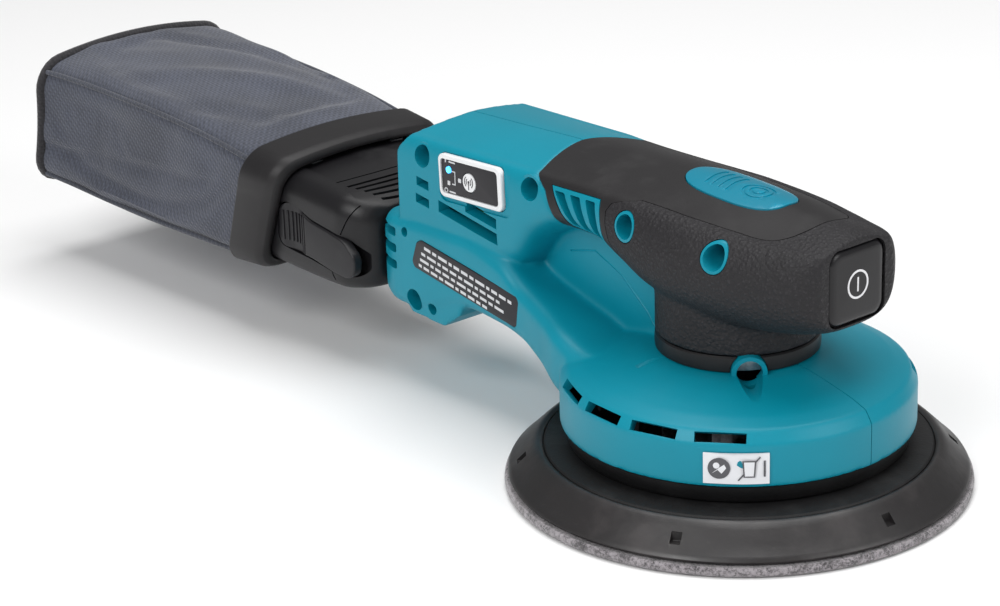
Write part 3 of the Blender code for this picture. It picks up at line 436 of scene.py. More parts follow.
def round_corners(outline, radius, steps=5):
    """The outline with an arc-like curve in place of each corner."""
    points = [Vector(point) for point in outline]
    made = []
    for before, corner, after in zip(points[-1:] + points[:-1], points, points[1:] + points[:1]):
        reach = min(radius, (before - corner).length * 0.45, (after - corner).length * 0.45)
        start = corner + (before - corner).normalized() * reach
        end = corner + (after - corner).normalized() * reach
        for step in range(steps + 1):
            t = step / steps
            made.append(tuple((1 - t) ** 2 * start + 2 * t * (1 - t) * corner + t * t * end))
    return made


def tangents(keys, values):
    """Slopes for a smooth curve through rising keys that never overshoots."""
    steps = [(b - a) / (k2 - k1) for a, b, k1, k2 in zip(values, values[1:], keys, keys[1:])]
    slopes = [steps[0]]
    for before, after in zip(steps, steps[1:]):
        slopes.append(0.0 if before * after <= 0 else 2 * before * after / (before + after))
    return slopes + [steps[-1]]


def smooth_stations(stations, spacing):
    """More stations along x, read from a smooth curve through the given ones."""
    keys = [station[0] for station in stations]
    columns = list(zip(*stations))
    slopes = [tangents(keys, column) for column in columns]
    made = []
    for i, (start, end) in enumerate(zip(stations, stations[1:])):
        width = end[0] - start[0]
        count = max(1, round(width / spacing))
        for step in range(count):
            t = step / count
            values = []
            for column, (low, high) in enumerate(zip(start, end)):
                near, far = slopes[column][i] * width, slopes[column][i + 1] * width
                values.append((2 * t ** 3 - 3 * t * t + 1) * low + (t ** 3 - 2 * t * t + t) * near
                              + (3 * t * t - 2 * t ** 3) * high + (t ** 3 - t * t) * far)
            made.append(tuple(values))
    return made + [stations[-1]]


def upper_loop(station, grow):
    """One cross-section of the tower, handle or head, as points at a constant x."""
    x, half, bottom, belly, edge, edge_y, ridge, power = station
    half += grow
    bottom -= grow
    edge += grow
    ridge += grow
    edge_y += grow * 0.45
    upper_power = 2.2 + max(0.0, min(1.0, (power - 2.9) / 1.6))
    side = []
    for step in range(28):
        angle = math.pi / 2 * step / 27
        side.append((half * math.sin(angle) ** (2 / power),
                     belly - (belly - bottom) * abs(math.cos(angle)) ** (2 / power)))
    for step in range(1, 15):
        angle = math.pi / 2 * step / 14
        side.append((edge_y + (half - edge_y) * abs(math.cos(angle)) ** (2 / upper_power),
                     belly + (edge - belly) * math.sin(angle) ** (2 / upper_power)))
    for step in range(1, 13):
        share = 1 - step / 12
        side.append((edge_y * share, ridge - (ridge - edge) * share ** 1.6))
    mirrored = [(-y, z) for y, z in side[-2:0:-1]]
    return [(x, y, z) for y, z in side + mirrored]


def upper_solid(grow, spacing=2.0):
    """The whole upper body from tower to button face, grown or shrunk by grow."""
    stations = smooth_stations(UPPER_STATIONS, spacing)
    first, last = stations[0], stations[-1]
    stations[0] = (first[0] - grow, *first[1:])
    stations[-1] = (last[0] + grow, *last[1:])
    return skin("upper", [upper_loop(station, grow) for station in stations])


def behind_skin(shift):
    """Everything behind the slanted rear edge of the grip skin, moved forward by shift."""
    edge = [(x + shift, z) for x, z in SKIN_EDGE]
    return slab("cutter", ((-160, SKIN_EDGE[0][1]), *edge, (-160, SKIN_EDGE[-1][1])), "y", -50, 50)


def neck_column(radius, bottom):
    return rod("neck", (0, 0, bottom), (0, 0, 72), radius, 96)


def web_solid(grow):
    """The web between the handle and the duct."""
    outline = ((-88, 47), (-60, 41), (-14, 41), (-14, 60), (-25, 68), (-36, 76), (-56, 77), (-88, 77))
    half = WEB_HALF + grow
    return slab("web", grown(outline, grow * 2), "y", -half, half)


def duct_loop(station, shrink=0.0, steps=8):
    x, half, bottom, top = station
    outline = rounded(half - shrink, (top - bottom) / 2 - shrink, 5.5 - shrink * 0.6, steps,
                      (0, (top + bottom) / 2), 6)
    return [(x, y, z) for y, z in outline]


def shroud_solid():
    profile = ((0.01, SHROUD_BOTTOM), (SHROUD_RADIUS, SHROUD_BOTTOM), (SHROUD_RADIUS, SHROUD_WALL_TOP),
               (54.5, 38.2), (49.0, 40.3), (42.5, 42.0), (36.5, 43.4), (30.5, 44.6),
               (NECK_RADIUS, DOME_TOP), (0.01, DOME_TOP))
    return turned("shroud", profile, 180)


def slanted_loop(section, radius, shrink=0.0, shift=0.0, pinch=0.0, steps=8, between=10):
    """A crowned, rounded rectangle in a plane that leans forward at its top."""
    x_top, x_low, half, bottom, top, crown = section
    outline = rounded(half - shrink, (top - bottom) / 2 - shrink, radius, steps, (0, (top + bottom) / 2),
                      between)
    loop = []
    for y, z in outline:
        rise = (z - bottom) / (top - bottom)
        z += crown * (1 - (y / half) ** 2) * max(0.0, min(1.0, (rise - 0.5) / 0.4))
        side = min(1.0, max(0.0, (abs(y) / half - 0.8) / 0.15))
        inward = pinch * max(0.0, 1 - (2 * rise - 1) ** 2) * side
        loop.append((x_low + (x_top - x_low) * rise + shift, math.copysign(abs(y) - inward, y), z))
    return loop


def strip(start, end, thickness):
    """An outline in x and z along a slanted line, with vertical ends."""
    half = thickness / 2
    return ((start[0], start[1] - half), (end[0], end[1] - half),
            (end[0], end[1] + half), (start[0], start[1] + half))


# ---------------------------------------------------------------- shader node groups

def add_node(tree, kind, **settings):
    made = tree.nodes.new(kind)
    for name, value in settings.items():
        setattr(made, name, value)
    return made


def sum_up(tree, operation, first, second, clamp=False):
    """A Math node on two values or sockets, and its result."""
    made = add_node(tree, "ShaderNodeMath", operation=operation, use_clamp=clamp)
    for socket, value in zip(made.inputs, (first, second)):
        if isinstance(value, (int, float)):
            socket.default_value = value
        else:
            tree.links.new(value, socket)
    return made.outputs[0]


def in_range(tree, value, low, high, to_low=0.0, to_high=1.0):
    """A Map Range node with smooth ends, and its result."""
    made = add_node(tree, "ShaderNodeMapRange", interpolation_type="SMOOTHSTEP")
    tree.links.new(value, made.inputs["Value"])
    for name, number in (("From Min", low), ("From Max", high), ("To Min", to_low), ("To Max", to_high)):
        made.inputs[name].default_value = number
    return made.outputs[0]


def noise(tree, where, scale, detail=2.0, roughness=0.5):
    made = add_node(tree, "ShaderNodeTexNoise")
    tree.links.new(where, made.inputs["Vector"])
    if isinstance(scale, (int, float)):
        made.inputs["Scale"].default_value = scale
    else:
        tree.links.new(scale, made.inputs["Scale"])
    made.inputs["Detail"].default_value = detail
    made.inputs["Roughness"].default_value = roughness
    return made.outputs["Fac"]


def new_group(name, inputs, outputs):
    """A shader node group with named inputs and outputs, and its two end nodes."""
    tree = bpy.data.node_groups.new(name, "ShaderNodeTree")
    for label, kind, default in inputs:
        socket = tree.interface.new_socket(name=label, in_out="INPUT", socket_type=kind)
        if default is not None:
            socket.default_value = default
    for label, kind in outputs:
        tree.interface.new_socket(name=label, in_out="OUTPUT", socket_type=kind)
    return tree, add_node(tree, "NodeGroupInput").outputs, add_node(tree, "NodeGroupOutput").inputs


def spark_texture_group():
    """The fine, even texture of a spark-eroded mould, with a slow drift in tone."""
    tree, given, result = new_group("Spark texture", (("Vector", "NodeSocketVector", None),
                                                      ("Scale", "NodeSocketFloat", 1500.0)),
                                    (("Height", "NodeSocketFloat"), ("Tone", "NodeSocketFloat")))
    fine = noise(tree, given["Vector"], given["Scale"], 3.0, 0.6)
    tree.links.new(fine, result["Height"])
    drift = noise(tree, given["Vector"], 22.0, 3.0, 0.55)
    speck = sum_up(tree, "MULTIPLY", fine, 0.3)
    tree.links.new(sum_up(tree, "ADD", sum_up(tree, "MULTIPLY", drift, 0.7), speck), result["Tone"])
    return tree


def pebble_grain_group():
    """The raised pebbles of a soft grip, with smaller ones between them, and a mask of their tops for a painted
    glint.
    """
    tree, given, result = new_group("Pebble grain", (("Vector", "NodeSocketVector", None),
                                                     ("Scale", "NodeSocketFloat", 900.0)),
                                    (("Height", "NodeSocketFloat"), ("Painted glint tops", "NodeSocketFloat")))
    cells = add_node(tree, "ShaderNodeTexVoronoi", feature="SMOOTH_F1")
    cells.inputs["Smoothness"].default_value = 0.35
    small = add_node(tree, "ShaderNodeTexVoronoi", feature="F1")
    tree.links.new(given["Vector"], cells.inputs["Vector"])
    tree.links.new(given["Scale"], cells.inputs["Scale"])
    tree.links.new(given["Vector"], small.inputs["Vector"])
    tree.links.new(sum_up(tree, "MULTIPLY", given["Scale"], 2.3), small.inputs["Scale"])
    big_height = sum_up(tree, "SUBTRACT", 1.0, cells.outputs["Distance"])
    small_height = sum_up(tree, "SUBTRACT", 1.0, small.outputs["Distance"])
    height = sum_up(tree, "ADD", sum_up(tree, "MULTIPLY", big_height, 0.75),
                    sum_up(tree, "MULTIPLY", small_height, 0.25))
    tree.links.new(height, result["Height"])
    tree.links.new(in_range(tree, height, 0.55, 0.9), result["Painted glint tops"])
    return tree


def twill_group():
    """Twill weave on a flat map counted in threads: slanted ribs, each thread a little lighter or darker."""
    tree, given, result = new_group("Twill weave", (("Vector", "NodeSocketVector", None),
                                                    ("Threads", "NodeSocketFloat", 600.0)),
                                    (("Height", "NodeSocketFloat"), ("Thread tone", "NodeSocketFloat")))
    scaled = add_node(tree, "ShaderNodeVectorMath", operation="SCALE")
    tree.links.new(given["Vector"], scaled.inputs[0])
    tree.links.new(given["Threads"], scaled.inputs["Scale"])
    parts = add_node(tree, "ShaderNodeSeparateXYZ")
    tree.links.new(scaled.outputs[0], parts.inputs[0])
    across, along = parts.outputs[0], parts.outputs[1]
    slant = sum_up(tree, "SINE", sum_up(tree, "MULTIPLY", sum_up(tree, "ADD", across, along), math.pi), 0.0)
    warp = sum_up(tree, "SINE", sum_up(tree, "MULTIPLY", across, math.tau), 0.0)
    weft = sum_up(tree, "SINE", sum_up(tree, "MULTIPLY", along, math.tau), 0.0)
    threads = sum_up(tree, "MULTIPLY", sum_up(tree, "ADD", warp, weft), 0.18)
    raised = sum_up(tree, "ADD", sum_up(tree, "MULTIPLY", slant, 0.3), threads)
    fuzz = noise(tree, scaled.outputs[0], 1.3, 3.0, 0.7)
    tree.links.new(sum_up(tree, "ADD", raised, sum_up(tree, "MULTIPLY", fuzz, 0.6)), result["Height"])
    tree.links.new(sum_up(tree, "ADD", sum_up(tree, "MULTIPLY", raised, 0.35), fuzz), result["Thread tone"])
    return tree


def edge_wear_and_highlight_group():
    """Where a dense skin turns outwards, for rubbed edges and painted highlights on them, broken up by noise."""
    tree, given, result = new_group("Rubbed edge and painted highlight", (("Vector", "NodeSocketVector", None),
                                                    ("Sharpness", "NodeSocketFloat", 0.54)),
                                    (("Mask", "NodeSocketFloat"),))
    bend = add_node(tree, "ShaderNodeNewGeometry").outputs["Pointiness"]
    over = sum_up(tree, "MULTIPLY", sum_up(tree, "SUBTRACT", bend, given["Sharpness"]), 9.0, clamp=True)
    broken = in_range(tree, noise(tree, given["Vector"], 160.0, 4.0, 0.6), 0.3, 0.6, 0.35, 1.0)
    tree.links.new(sum_up(tree, "MULTIPLY", over, broken), result["Mask"])
    return tree


def marks_group():
    """Faint handling marks and settled dust, in soft patches and short scuffs."""
    tree, given, result = new_group("Handling marks", (("Vector", "NodeSocketVector", None),
                                                       ("Amount", "NodeSocketFloat", 0.5)),
                                    (("Mask", "NodeSocketFloat"),))
    patches = in_range(tree, noise(tree, given["Vector"], 38.0, 5.0, 0.62), 0.5, 0.75)
    stretched = add_node(tree, "ShaderNodeMapping")
    stretched.inputs["Scale"].default_value = (1.0, 6.0, 9.0)
    tree.links.new(given["Vector"], stretched.inputs["Vector"])
    scuffs = in_range(tree, noise(tree, stretched.outputs[0], 60.0, 4.0, 0.7), 0.64, 0.78)
    tree.links.new(sum_up(tree, "MULTIPLY", sum_up(tree, "MAXIMUM", patches, scuffs), given["Amount"]),
                   result["Mask"])
    return tree


GROUPS = {}


def place_group(tree, name, where, **values):
    """A node for one of the shared groups, built the first time that it is asked for."""
    builders = {"Spark texture": spark_texture_group, "Pebble grain": pebble_grain_group,
                "Twill weave": twill_group, "Rubbed edge and painted highlight": edge_wear_and_highlight_group, "Handling marks": marks_group}
    if name not in GROUPS:
        GROUPS[name] = builders[name]()
    made = add_node(tree, "ShaderNodeGroup", node_tree=GROUPS[name])
    tree.links.new(where, made.inputs["Vector"])
    for label, value in values.items():
        made.inputs[label].default_value = value
    return made.outputs


# ---------------------------------------------------------------- materials

def new_material(name, **plain):
    """A material, its tree, its shader's inputs and the place on the object, with plain socket values."""
    look = bpy.data.materials.new(name)
    look.use_nodes = True
    tree = look.node_tree
    shader = tree.nodes["Principled BSDF"].inputs
    for label, value in plain.items():
        shader[label.replace("_", " ")].default_value = value
    where = add_node(tree, "ShaderNodeTexCoord")
    return look, tree, shader, where


def blend_colours(tree, share, low, high):
    """Mix two colours, each a tuple or a socket, by a share from 0 to 1."""
    made = add_node(tree, "ShaderNodeMix", data_type="RGBA")
    tree.links.new(share, made.inputs[0])
    for socket, colour in ((made.inputs[6], low), (made.inputs[7], high)):
        if isinstance(colour, bpy.types.NodeSocket):
            tree.links.new(colour, socket)
        else:
            socket.default_value = (*colour[:3], 1.0)
    return made.outputs[2]


def scaled_colour(colour, factor):
    return tuple(min(1.0, part * factor) for part in colour[:3])


def raise_surface(tree, shader, height, depth, strength=1.0, under=None):
    """Feed a height to the shader's normal through a Bump node, on top of another if given."""
    bump = add_node(tree, "ShaderNodeBump")
    bump.inputs["Distance"].default_value = depth * MM
    bump.inputs["Strength"].default_value = strength
    tree.links.new(height, bump.inputs["Height"])
    if under is not None:
        tree.links.new(under, bump.inputs["Normal"])
    tree.links.new(bump.outputs[0], shader["Normal"])
    return bump.outputs[0]


def moulded_plastic(name, colour, roughness, grain=0.03, scale=1500.0, drift=0.12, rub_and_highlight=0.25, marks=0.25,
                    dusty=(0.2, 0.2, 0.2), **plain):
    """Injection-moulded plastic: spark texture, drifting tone, edges painted lighter as rubbed wear and painted
    highlight, and handling marks.
    """
    plain.setdefault("Specular_IOR_Level", 0.35)
    look, tree, shader, where = new_material(name, **plain)
    at = where.outputs["Object"]
    texture = place_group(tree, "Spark texture", at, Scale=scale)
    edge = place_group(tree, "Rubbed edge and painted highlight", at)["Mask"]
    mark = place_group(tree, "Handling marks", at, Amount=marks)["Mask"]
    tone = in_range(tree, texture["Tone"], 0.3, 0.7)
    body = blend_colours(tree, tone, scaled_colour(colour, 1 - drift), scaled_colour(colour, 1 + drift))
    # Convex edges painted lighter: partly rubbed wear, partly painted highlight.
    rubbed_and_highlit = blend_colours(tree, sum_up(tree, "MULTIPLY", edge, rub_and_highlight), body, scaled_colour(colour, 1.9))
    tree.links.new(blend_colours(tree, sum_up(tree, "MULTIPLY", mark, 0.12), rubbed_and_highlit, dusty),
                   shader["Base Color"])
    worn = sum_up(tree, "SUBTRACT", roughness, sum_up(tree, "MULTIPLY", edge, 0.1))
    tree.links.new(sum_up(tree, "ADD", worn, sum_up(tree, "MULTIPLY", mark, 0.12)), shader["Roughness"])
    raise_surface(tree, shader, texture["Height"], grain)
    return look


def grained_grip(name, colour):
    """Soft grip skin: pebbled all over, with pebble tops painted lighter as a painted glint, but nearly smooth behind
    the ridge round the side windows.
    """
    look, tree, shader, where = new_material(name, Specular_IOR_Level=0.4)
    at = where.outputs["Object"]
    grain = place_group(tree, "Pebble grain", at, Scale=780.0)
    fine = place_group(tree, "Spark texture", at, Scale=2100.0)
    parts = add_node(tree, "ShaderNodeSeparateXYZ")
    tree.links.new(at, parts.inputs[0])
    slanted = sum_up(tree, "ADD", parts.outputs[0], sum_up(tree, "MULTIPLY", parts.outputs[2], 0.16))
    grained = in_range(tree, slanted, -0.0196, -0.0190)
    mark = place_group(tree, "Handling marks", at, Amount=0.5)["Mask"]
    base = blend_colours(tree, in_range(tree, fine["Tone"], 0.3, 0.7), scaled_colour(colour, 0.8),
                         scaled_colour(colour, 1.15))
    painted_glint_tops = sum_up(tree, "MULTIPLY", grain["Painted glint tops"], grained)
    # Painted glint: pebble tops painted lighter; the same mask also lowers roughness.
    with_painted_glint = blend_colours(tree, sum_up(tree, "MULTIPLY", painted_glint_tops, 0.7), base, scaled_colour(colour, 2.1))
    tree.links.new(blend_colours(tree, sum_up(tree, "MULTIPLY", mark, 0.1), with_painted_glint, (0.12, 0.11, 0.12)),
                   shader["Base Color"])
    tree.links.new(sum_up(tree, "SUBTRACT", 0.62, sum_up(tree, "MULTIPLY", painted_glint_tops, 0.2)), shader["Roughness"])
    height = sum_up(tree, "MULTIPLY", grain["Height"], grained)
    low = raise_surface(tree, shader, fine["Height"], 0.03)
    raise_surface(tree, shader, height, 0.45, 1.0, low)
    return look


def cast_rubber(name, colour, roughness=0.36):
    """Moulded polyurethane skin with a cloudy sheen, painted into its colour as lighter clouds and set in its gloss,
    with flow marks, small scuffs and edges painted lighter as rubbed wear and painted highlight.
    """
    look, tree, shader, where = new_material(name, Coat_Weight=0.12, Coat_Roughness=0.3)
    at = where.outputs["Object"]
    cloud = in_range(tree, noise(tree, at, 30.0, 6.0, 0.6), 0.35, 0.72)
    mark = place_group(tree, "Handling marks", at, Amount=1.0)["Mask"]
    edge = place_group(tree, "Rubbed edge and painted highlight", at)["Mask"]
    # Painted sheen: the colour is lighter in the same clouds where the skin is glossier.
    base = blend_colours(tree, cloud, scaled_colour(colour, 0.75), scaled_colour(colour, 1.6))
    scuffed = blend_colours(tree, sum_up(tree, "MULTIPLY", mark, 0.3), base, (0.09, 0.08, 0.08))
    # Edges painted lighter: partly rubbed wear, partly painted highlight.
    tree.links.new(blend_colours(tree, sum_up(tree, "MULTIPLY", edge, 0.3), scuffed, (0.09, 0.085, 0.08)),
                   shader["Base Color"])
    tree.links.new(in_range(tree, cloud, 0.0, 1.0, roughness + 0.12, roughness - 0.04), shader["Roughness"])
    ripple = noise(tree, at, 240.0, 5.0, 0.6)
    raise_surface(tree, shader, ripple, 0.12, 0.7)
    return look


def felt(name, colour):
    """Short grey pile: light and dark tufts."""
    look, tree, shader, where = new_material(name, Roughness=0.95, Sheen_Weight=0.4)
    at = where.outputs["Object"]
    tuft = noise(tree, at, 1100.0, 4.0, 0.75)
    patch = noise(tree, at, 260.0, 3.0, 0.6)
    mixed = sum_up(tree, "ADD", sum_up(tree, "MULTIPLY", tuft, 0.65), sum_up(tree, "MULTIPLY", patch, 0.35))
    tree.links.new(blend_colours(tree, in_range(tree, mixed, 0.38, 0.6), scaled_colour(colour, 0.3),
                                 scaled_colour(colour, 1.9)), shader["Base Color"])
    raise_surface(tree, shader, tuft, 0.6)
    return look


def woven_cloth(name, colour):
    """Grey-blue twill, with tone that drifts, and folds painted lighter, partly as rubbed wear and partly as painted
    highlight.
    """
    look, tree, shader, where = new_material(name, Roughness=0.9, Sheen_Weight=0.25, Sheen_Roughness=0.5)
    weave = place_group(tree, "Twill weave", where.outputs["UV"], Threads=760.0)
    at = where.outputs["Object"]
    patch = noise(tree, at, 34.0, 4.0, 0.6)
    edge = place_group(tree, "Rubbed edge and painted highlight", at, Sharpness=0.515)["Mask"]
    tone = sum_up(tree, "ADD", sum_up(tree, "MULTIPLY", weave["Thread tone"], 0.6),
                  sum_up(tree, "MULTIPLY", patch, 0.5))
    body = blend_colours(tree, in_range(tree, tone, 0.35, 0.8), scaled_colour(colour, 0.66),
                         scaled_colour(colour, 1.5))
    # Folds painted lighter: partly rubbed wear, partly painted highlight.
    tree.links.new(blend_colours(tree, sum_up(tree, "MULTIPLY", edge, 0.2), body,
                                 scaled_colour(colour, 2.2)),
                   shader["Base Color"])
    raise_surface(tree, shader, weave["Height"], 0.18, 0.8)
    return look


def metal(name, colour, roughness, streak=(1.0, 1.0, 1.0), grain=0.01):
    """Bare metal with fine machining or casting marks."""
    look, tree, shader, where = new_material(name, Metallic=1.0)
    stretched = add_node(tree, "ShaderNodeMapping")
    stretched.inputs["Scale"].default_value = streak
    tree.links.new(where.outputs["Object"], stretched.inputs["Vector"])
    line = noise(tree, stretched.outputs[0], 700.0, 4.0, 0.6)
    tree.links.new(blend_colours(tree, in_range(tree, line, 0.35, 0.65), scaled_colour(colour, 0.82),
                                 scaled_colour(colour, 1.1)), shader["Base Color"])
    tree.links.new(in_range(tree, line, 0.3, 0.7, roughness - 0.08, roughness + 0.1), shader["Roughness"])
    raise_surface(tree, shader, line, grain)
    return look


def lit_lens(name, colour):
    """A small lens with a lamp behind it, glowing with a fine speckle."""
    look, tree, shader, where = new_material(name, Roughness=0.2, Emission_Strength=2.2)
    speckle = in_range(tree, noise(tree, where.outputs["Object"], 1500.0, 2.0), 0.3, 0.7)
    colours = blend_colours(tree, speckle, colour, scaled_colour(colour, 1.6))
    tree.links.new(colours, shader["Base Color"])
    tree.links.new(colours, shader["Emission Color"])
    return look


# ---------------------------------------------------------------- housing

def corner_louvres():
    """Cutters for the louvres round the rear corners of the duct."""
    made = []
    for z in (56.2, 50.2, 44.2):
        for side in (-1, 1):
            turn = Matrix.Rotation(math.radians(side * 45), 4, "Z")
            made.append(turned_box((8.0, 3.4, 1.6), (turn, Matrix.Translation((-142.8, side * 24.5, z))),
                                   0.8))
    return made


def chamfer_vents():
    """Cutters for the exhaust slots through the shroud's chamfer."""
    lean = Matrix.Rotation(math.radians(-32), 4, "Y")
    out = Matrix.Translation((55.4, 0, 36.1))
    return [turned_box((4.4, 7.9, 1.6), (lean, out, Matrix.Rotation(math.radians(degrees), 4, "Z")))
            for degrees in CHAMFER_VENTS]


def tilted_outline(half_width, half_height, radius, shift=(0.0, 0.0)):
    """A rounded rectangle in x and z round the control panel's middle, tilted with the roof."""
    cosine, sine = math.cos(PANEL_TILT), math.sin(PANEL_TILT)
    return [(PANEL_CENTRE[0] + x * cosine - z * sine, PANEL_CENTRE[1] + x * sine + z * cosine)
            for x, z in rounded(half_width, half_height, radius, 8, shift)]


def louvre_slots():
    """The three slanted slots of one louvre window, as outlines in x and z."""
    rear_top, front_top, front_low, rear_low = (Vector(point) for point in LOUVRE)
    made = []
    for start, end in ((0.07, 0.27), (0.39, 0.59), (0.71, 0.91)):
        high = [rear_top.lerp(front_top, share) - Vector((0, 1.2)) for share in (start, end)]
        low = [rear_low.lerp(front_low, share) + Vector((0, 1.3)) for share in (start, end)]
        made.append(round_corners([tuple(point) for point in (high[0], high[1], low[1], low[0])], 0.6, 3))
    return made


def screw_boss(name):
    """The boss of one screw; a grip screw's boss reaches out to the grip's surface."""
    if name in GRIP_SCREWS:
        x, z = GRIP_SCREWS[name]
        mouth = keep_common(rod("boss", (x, -34, z), (x, -COVER_EDGE, z), BOSS_RADIUS), upper_solid(-0.05))
        rest = rod("boss", (x, -COVER_EDGE - 1, z), (x, 14, z), BOSS_RADIUS)
        return add_on(mouth, keep_common(rest, upper_solid(-SKIN - GAP)))
    x, z = BODY_SCREWS[name]
    return rod("boss", (x, -26.5, z), (x, 21, z), BOSS_RADIUS)


def housing_masses(voxel, softness):
    """The outer form of both housing halves together, with soft transitions."""
    tower = keep_common(upper_solid(0), behind_skin(-GAP / 2))
    carve(tower, slab("cutter", ((-140, 84), (-136.5, 84), (-135.0, 86.6), (-127.5, 95.4), (-124, 100),
                                 (-140, 100)),
                      "y", -40, 40))
    lug = slab("lug", ((-132.5, 45), (-132.5, 31.5), (-129.5, 28.4), (-112.5, 27.6), (-104, 33.5),
                       (-98, 45)),
               "y", -28.6, 28.6)
    duct = skin("duct", [duct_loop(station) for station in smooth_stations(DUCT_STATIONS, 2.5)])
    whole = gather("housing", [tower, upper_solid(-SKIN - GAP), neck_column(NECK_RADIUS - SKIN - GAP, 44.0),
                               shroud_solid(), duct, lug, web_solid(0)])
    melt(whole, voxel, softness)
    soften(whole, 9, lambda p: -96 < p.x < -22 and 36 < p.z < 74 and 10 < abs(p.y) < 34)
    soften(whole, 7, lambda p: -62 < p.x < -16 and 21.5 < p.z < 50 and abs(p.y) > 24)
    ledge = turned("ledge", ((48.3, 33.3), (54.8, 33.3), (54.8, 34.5), (48.3, 34.0)), 180, closed=True)
    return add_on(whole, ledge)


def shroud_room():
    """The room for the fan under the dome, with the motor's bore above it."""
    return turned("cutter", ((0.01, SHROUD_BOTTOM - 2), (54.3, SHROUD_BOTTOM - 2), (54.3, 33.2),
                             (51.0, 36.6),
                             (30, 41.9), (22.0, 42.4), (22.0, 71), (0.01, 71)), 96)


def duct_room():
    """The passage inside the duct, from the shroud to the outlet."""
    half, bottom, top = OUTLET
    mouth = rounded(half, (top - bottom) / 2, 4, 8, (0, (bottom + top) / 2), 6)
    rings = [[(x, y, z) for y, z in mouth] for x in (DUCT_REAR - 6, DUCT_REAR + WALL + 0.5)]
    rings.append(duct_loop((DUCT_REAR + 6, 23.0, 33.0, 57.0)))
    for x, wide, low, high in DUCT_STATIONS[3:-1]:
        rings.append(duct_loop((x, wide, max(low, SHROUD_BOTTOM + 2.5), high), WALL))
    rings.append(duct_loop((-12.0, 33.0, SHROUD_BOTTOM + 3.2, 39.2), WALL))
    return skin("cutter", rings)


def hollow_out(whole):
    room = carve(upper_solid(-SKIN - GAP - WALL), box("cutter", (-140, -40, 40), (-40, 40, 67.0)),
                 box("cutter", (-140, -40, 40), (-132.5, 40, 100)))
    return carve(whole, shroud_room(), duct_room(), room)


def cut_openings(whole):
    """Louvres, slots, vents, screw recesses and the pockets for what is set into the housing."""
    for name in (*GRIP_SCREWS, *BODY_SCREWS):
        add_on(whole, screw_boss(name))
    for x, z in (*GRIP_SCREWS.values(), *BODY_SCREWS.values()):
        carve(whole, rod("cutter", (x, -36, z), (x, -SCREW_SEAT, z), SCREW_HEAD + 0.5, 48),
              rod("cutter", (x, -SCREW_SEAT - 1, z), (x, 12.5, z), SCREW_SHANK + GAP, 24))
    add_on(whole, keep_common(both_sides(LOUVRE, 20, 34), upper_solid(-0.05)))
    slots = (strip((-113.5, 70.9), (-83.8, 66.0), 4.2), strip((-99.5, 73.9), (-83.8, 71.4), 3.6),
             strip((-124.8, 77.4), (-118.5, 76.5), 3.2), strip((-125.5, 71.2), (-118.5, 70.2), 3.2))
    for outline in (*louvre_slots(), *slots):
        carve(whole, both_sides(outline, 15, 36))
    carve(whole, *corner_louvres(), *chamfer_vents(), both_sides(oval((-131, 57.6), 1.7, 1.7), 20, 34),
          rod("cutter", (-118, -32, 32.6), (-118, 32, 32.6), 2.1),
          box("cutter", (-140, -9.3, 68.7), (-130, 9.3, 81.3)),
          slab("cutter", rounded(BUTTON_HALF + GAP, BUTTON_HALF + GAP, 4.5, 8, (0, BUTTON_CENTRE.z)), "x",
               40, 56))
    return whole


def cut_pockets(whole):
    """Pockets for the control panel and its surround, the rating plate and the speed dial."""
    half_x, half_z = PANEL_SIZE[0] / 2, PANEL_SIZE[1] / 2
    x, y, z = centre_of("mode_button")
    dial_x, dial_y, dial_z = centre_of("speed_dial")
    dial_radius = (span("speed_dial")[1].x - span("speed_dial")[0].x) / 2
    return carve(whole, slab("cutter", tilted_outline(half_x + 2.0, half_z + 1.3, 3.0, (1.3, -0.5)), "y",
                             -32, -27.3),
                 slab("cutter", tilted_outline(half_x + GAP, half_z + GAP, 2.6), "y", -32, -26.3),
                 rod("cutter", (x, -30, z), (x, -20, z), 3.7),
                 slab("cutter", grown(rating_outline(), GAP), "y", -36, -29.0),
                 rod("cutter", (dial_x, 24.4, dial_z), (dial_x, 32, dial_z), dial_radius + GAP))


def scoop_point(distance, height):
    """A point in the vertical plane of the screw scoop in front of the neck."""
    azimuth = math.radians(-38)
    return Vector((distance * math.cos(azimuth), distance * math.sin(azimuth), height))


def cut_grooves(whole):
    """The step line along the web, the seat of the neck, and scoops by the neck."""
    web_line = ((-64, 63.5), (-52, 66.5), (-40, 61.5), (-28, 52.0), (-24.5, 47.5))
    for side in (-1, 1):
        path = [(x, side * WEB_HALF, z) for x, z in web_line]
        for start, end in zip(path, path[1:]):
            carve(whole, rod("cutter", start, end, 0.35, 12))
    add_on(whole, rod("hood", scoop_point(23.5, 45.9), scoop_point(27.6, 45.6), 5.6, 48))
    carve(whole, rod("cutter", scoop_point(19, 46.2), scoop_point(44, 44.6), 5.0, 48, 2.4))
    azimuth = math.radians(-107)
    out = Vector((math.cos(azimuth), math.sin(azimuth), 0))
    return carve(whole, rod("cutter", out * 27 + Vector((0, 0, 48.0)), out * 36 + Vector((0, 0, 43.8)), 3.2,
                            32, 1.2))


def rating_outline():
    return round_corners(((-121.5, 57.0), (-124.0, 55.5), (-126.6, 48.4), (-125.5, 46.4), (-74.0, 38.2),
                          (-72.4, 39.4), (-71.0, 48.0), (-72.2, 49.4)), 0.8, 3)


def make_housing(look, voxel, softness, most):
    whole = cut_grooves(cut_pockets(cut_openings(hollow_out(housing_masses(voxel, softness)))))
    hold(whole)
    bpy.ops.object.duplicate()
    other = bpy.context.object
    for half, side, name in ((whole, -1, "right"), (other, 1, "left")):
        low, high = sorted((side * GAP / 2, side * 90))
        keep_common(half, box("cutter", (-200, low, -10), (90, high, 120)))
        thin_out(half, most)
        half.name = f"housing_{name}_shell"
        shade(half, 38)
        finish_piece(half, look, "housing", (f"housing_{name}",))


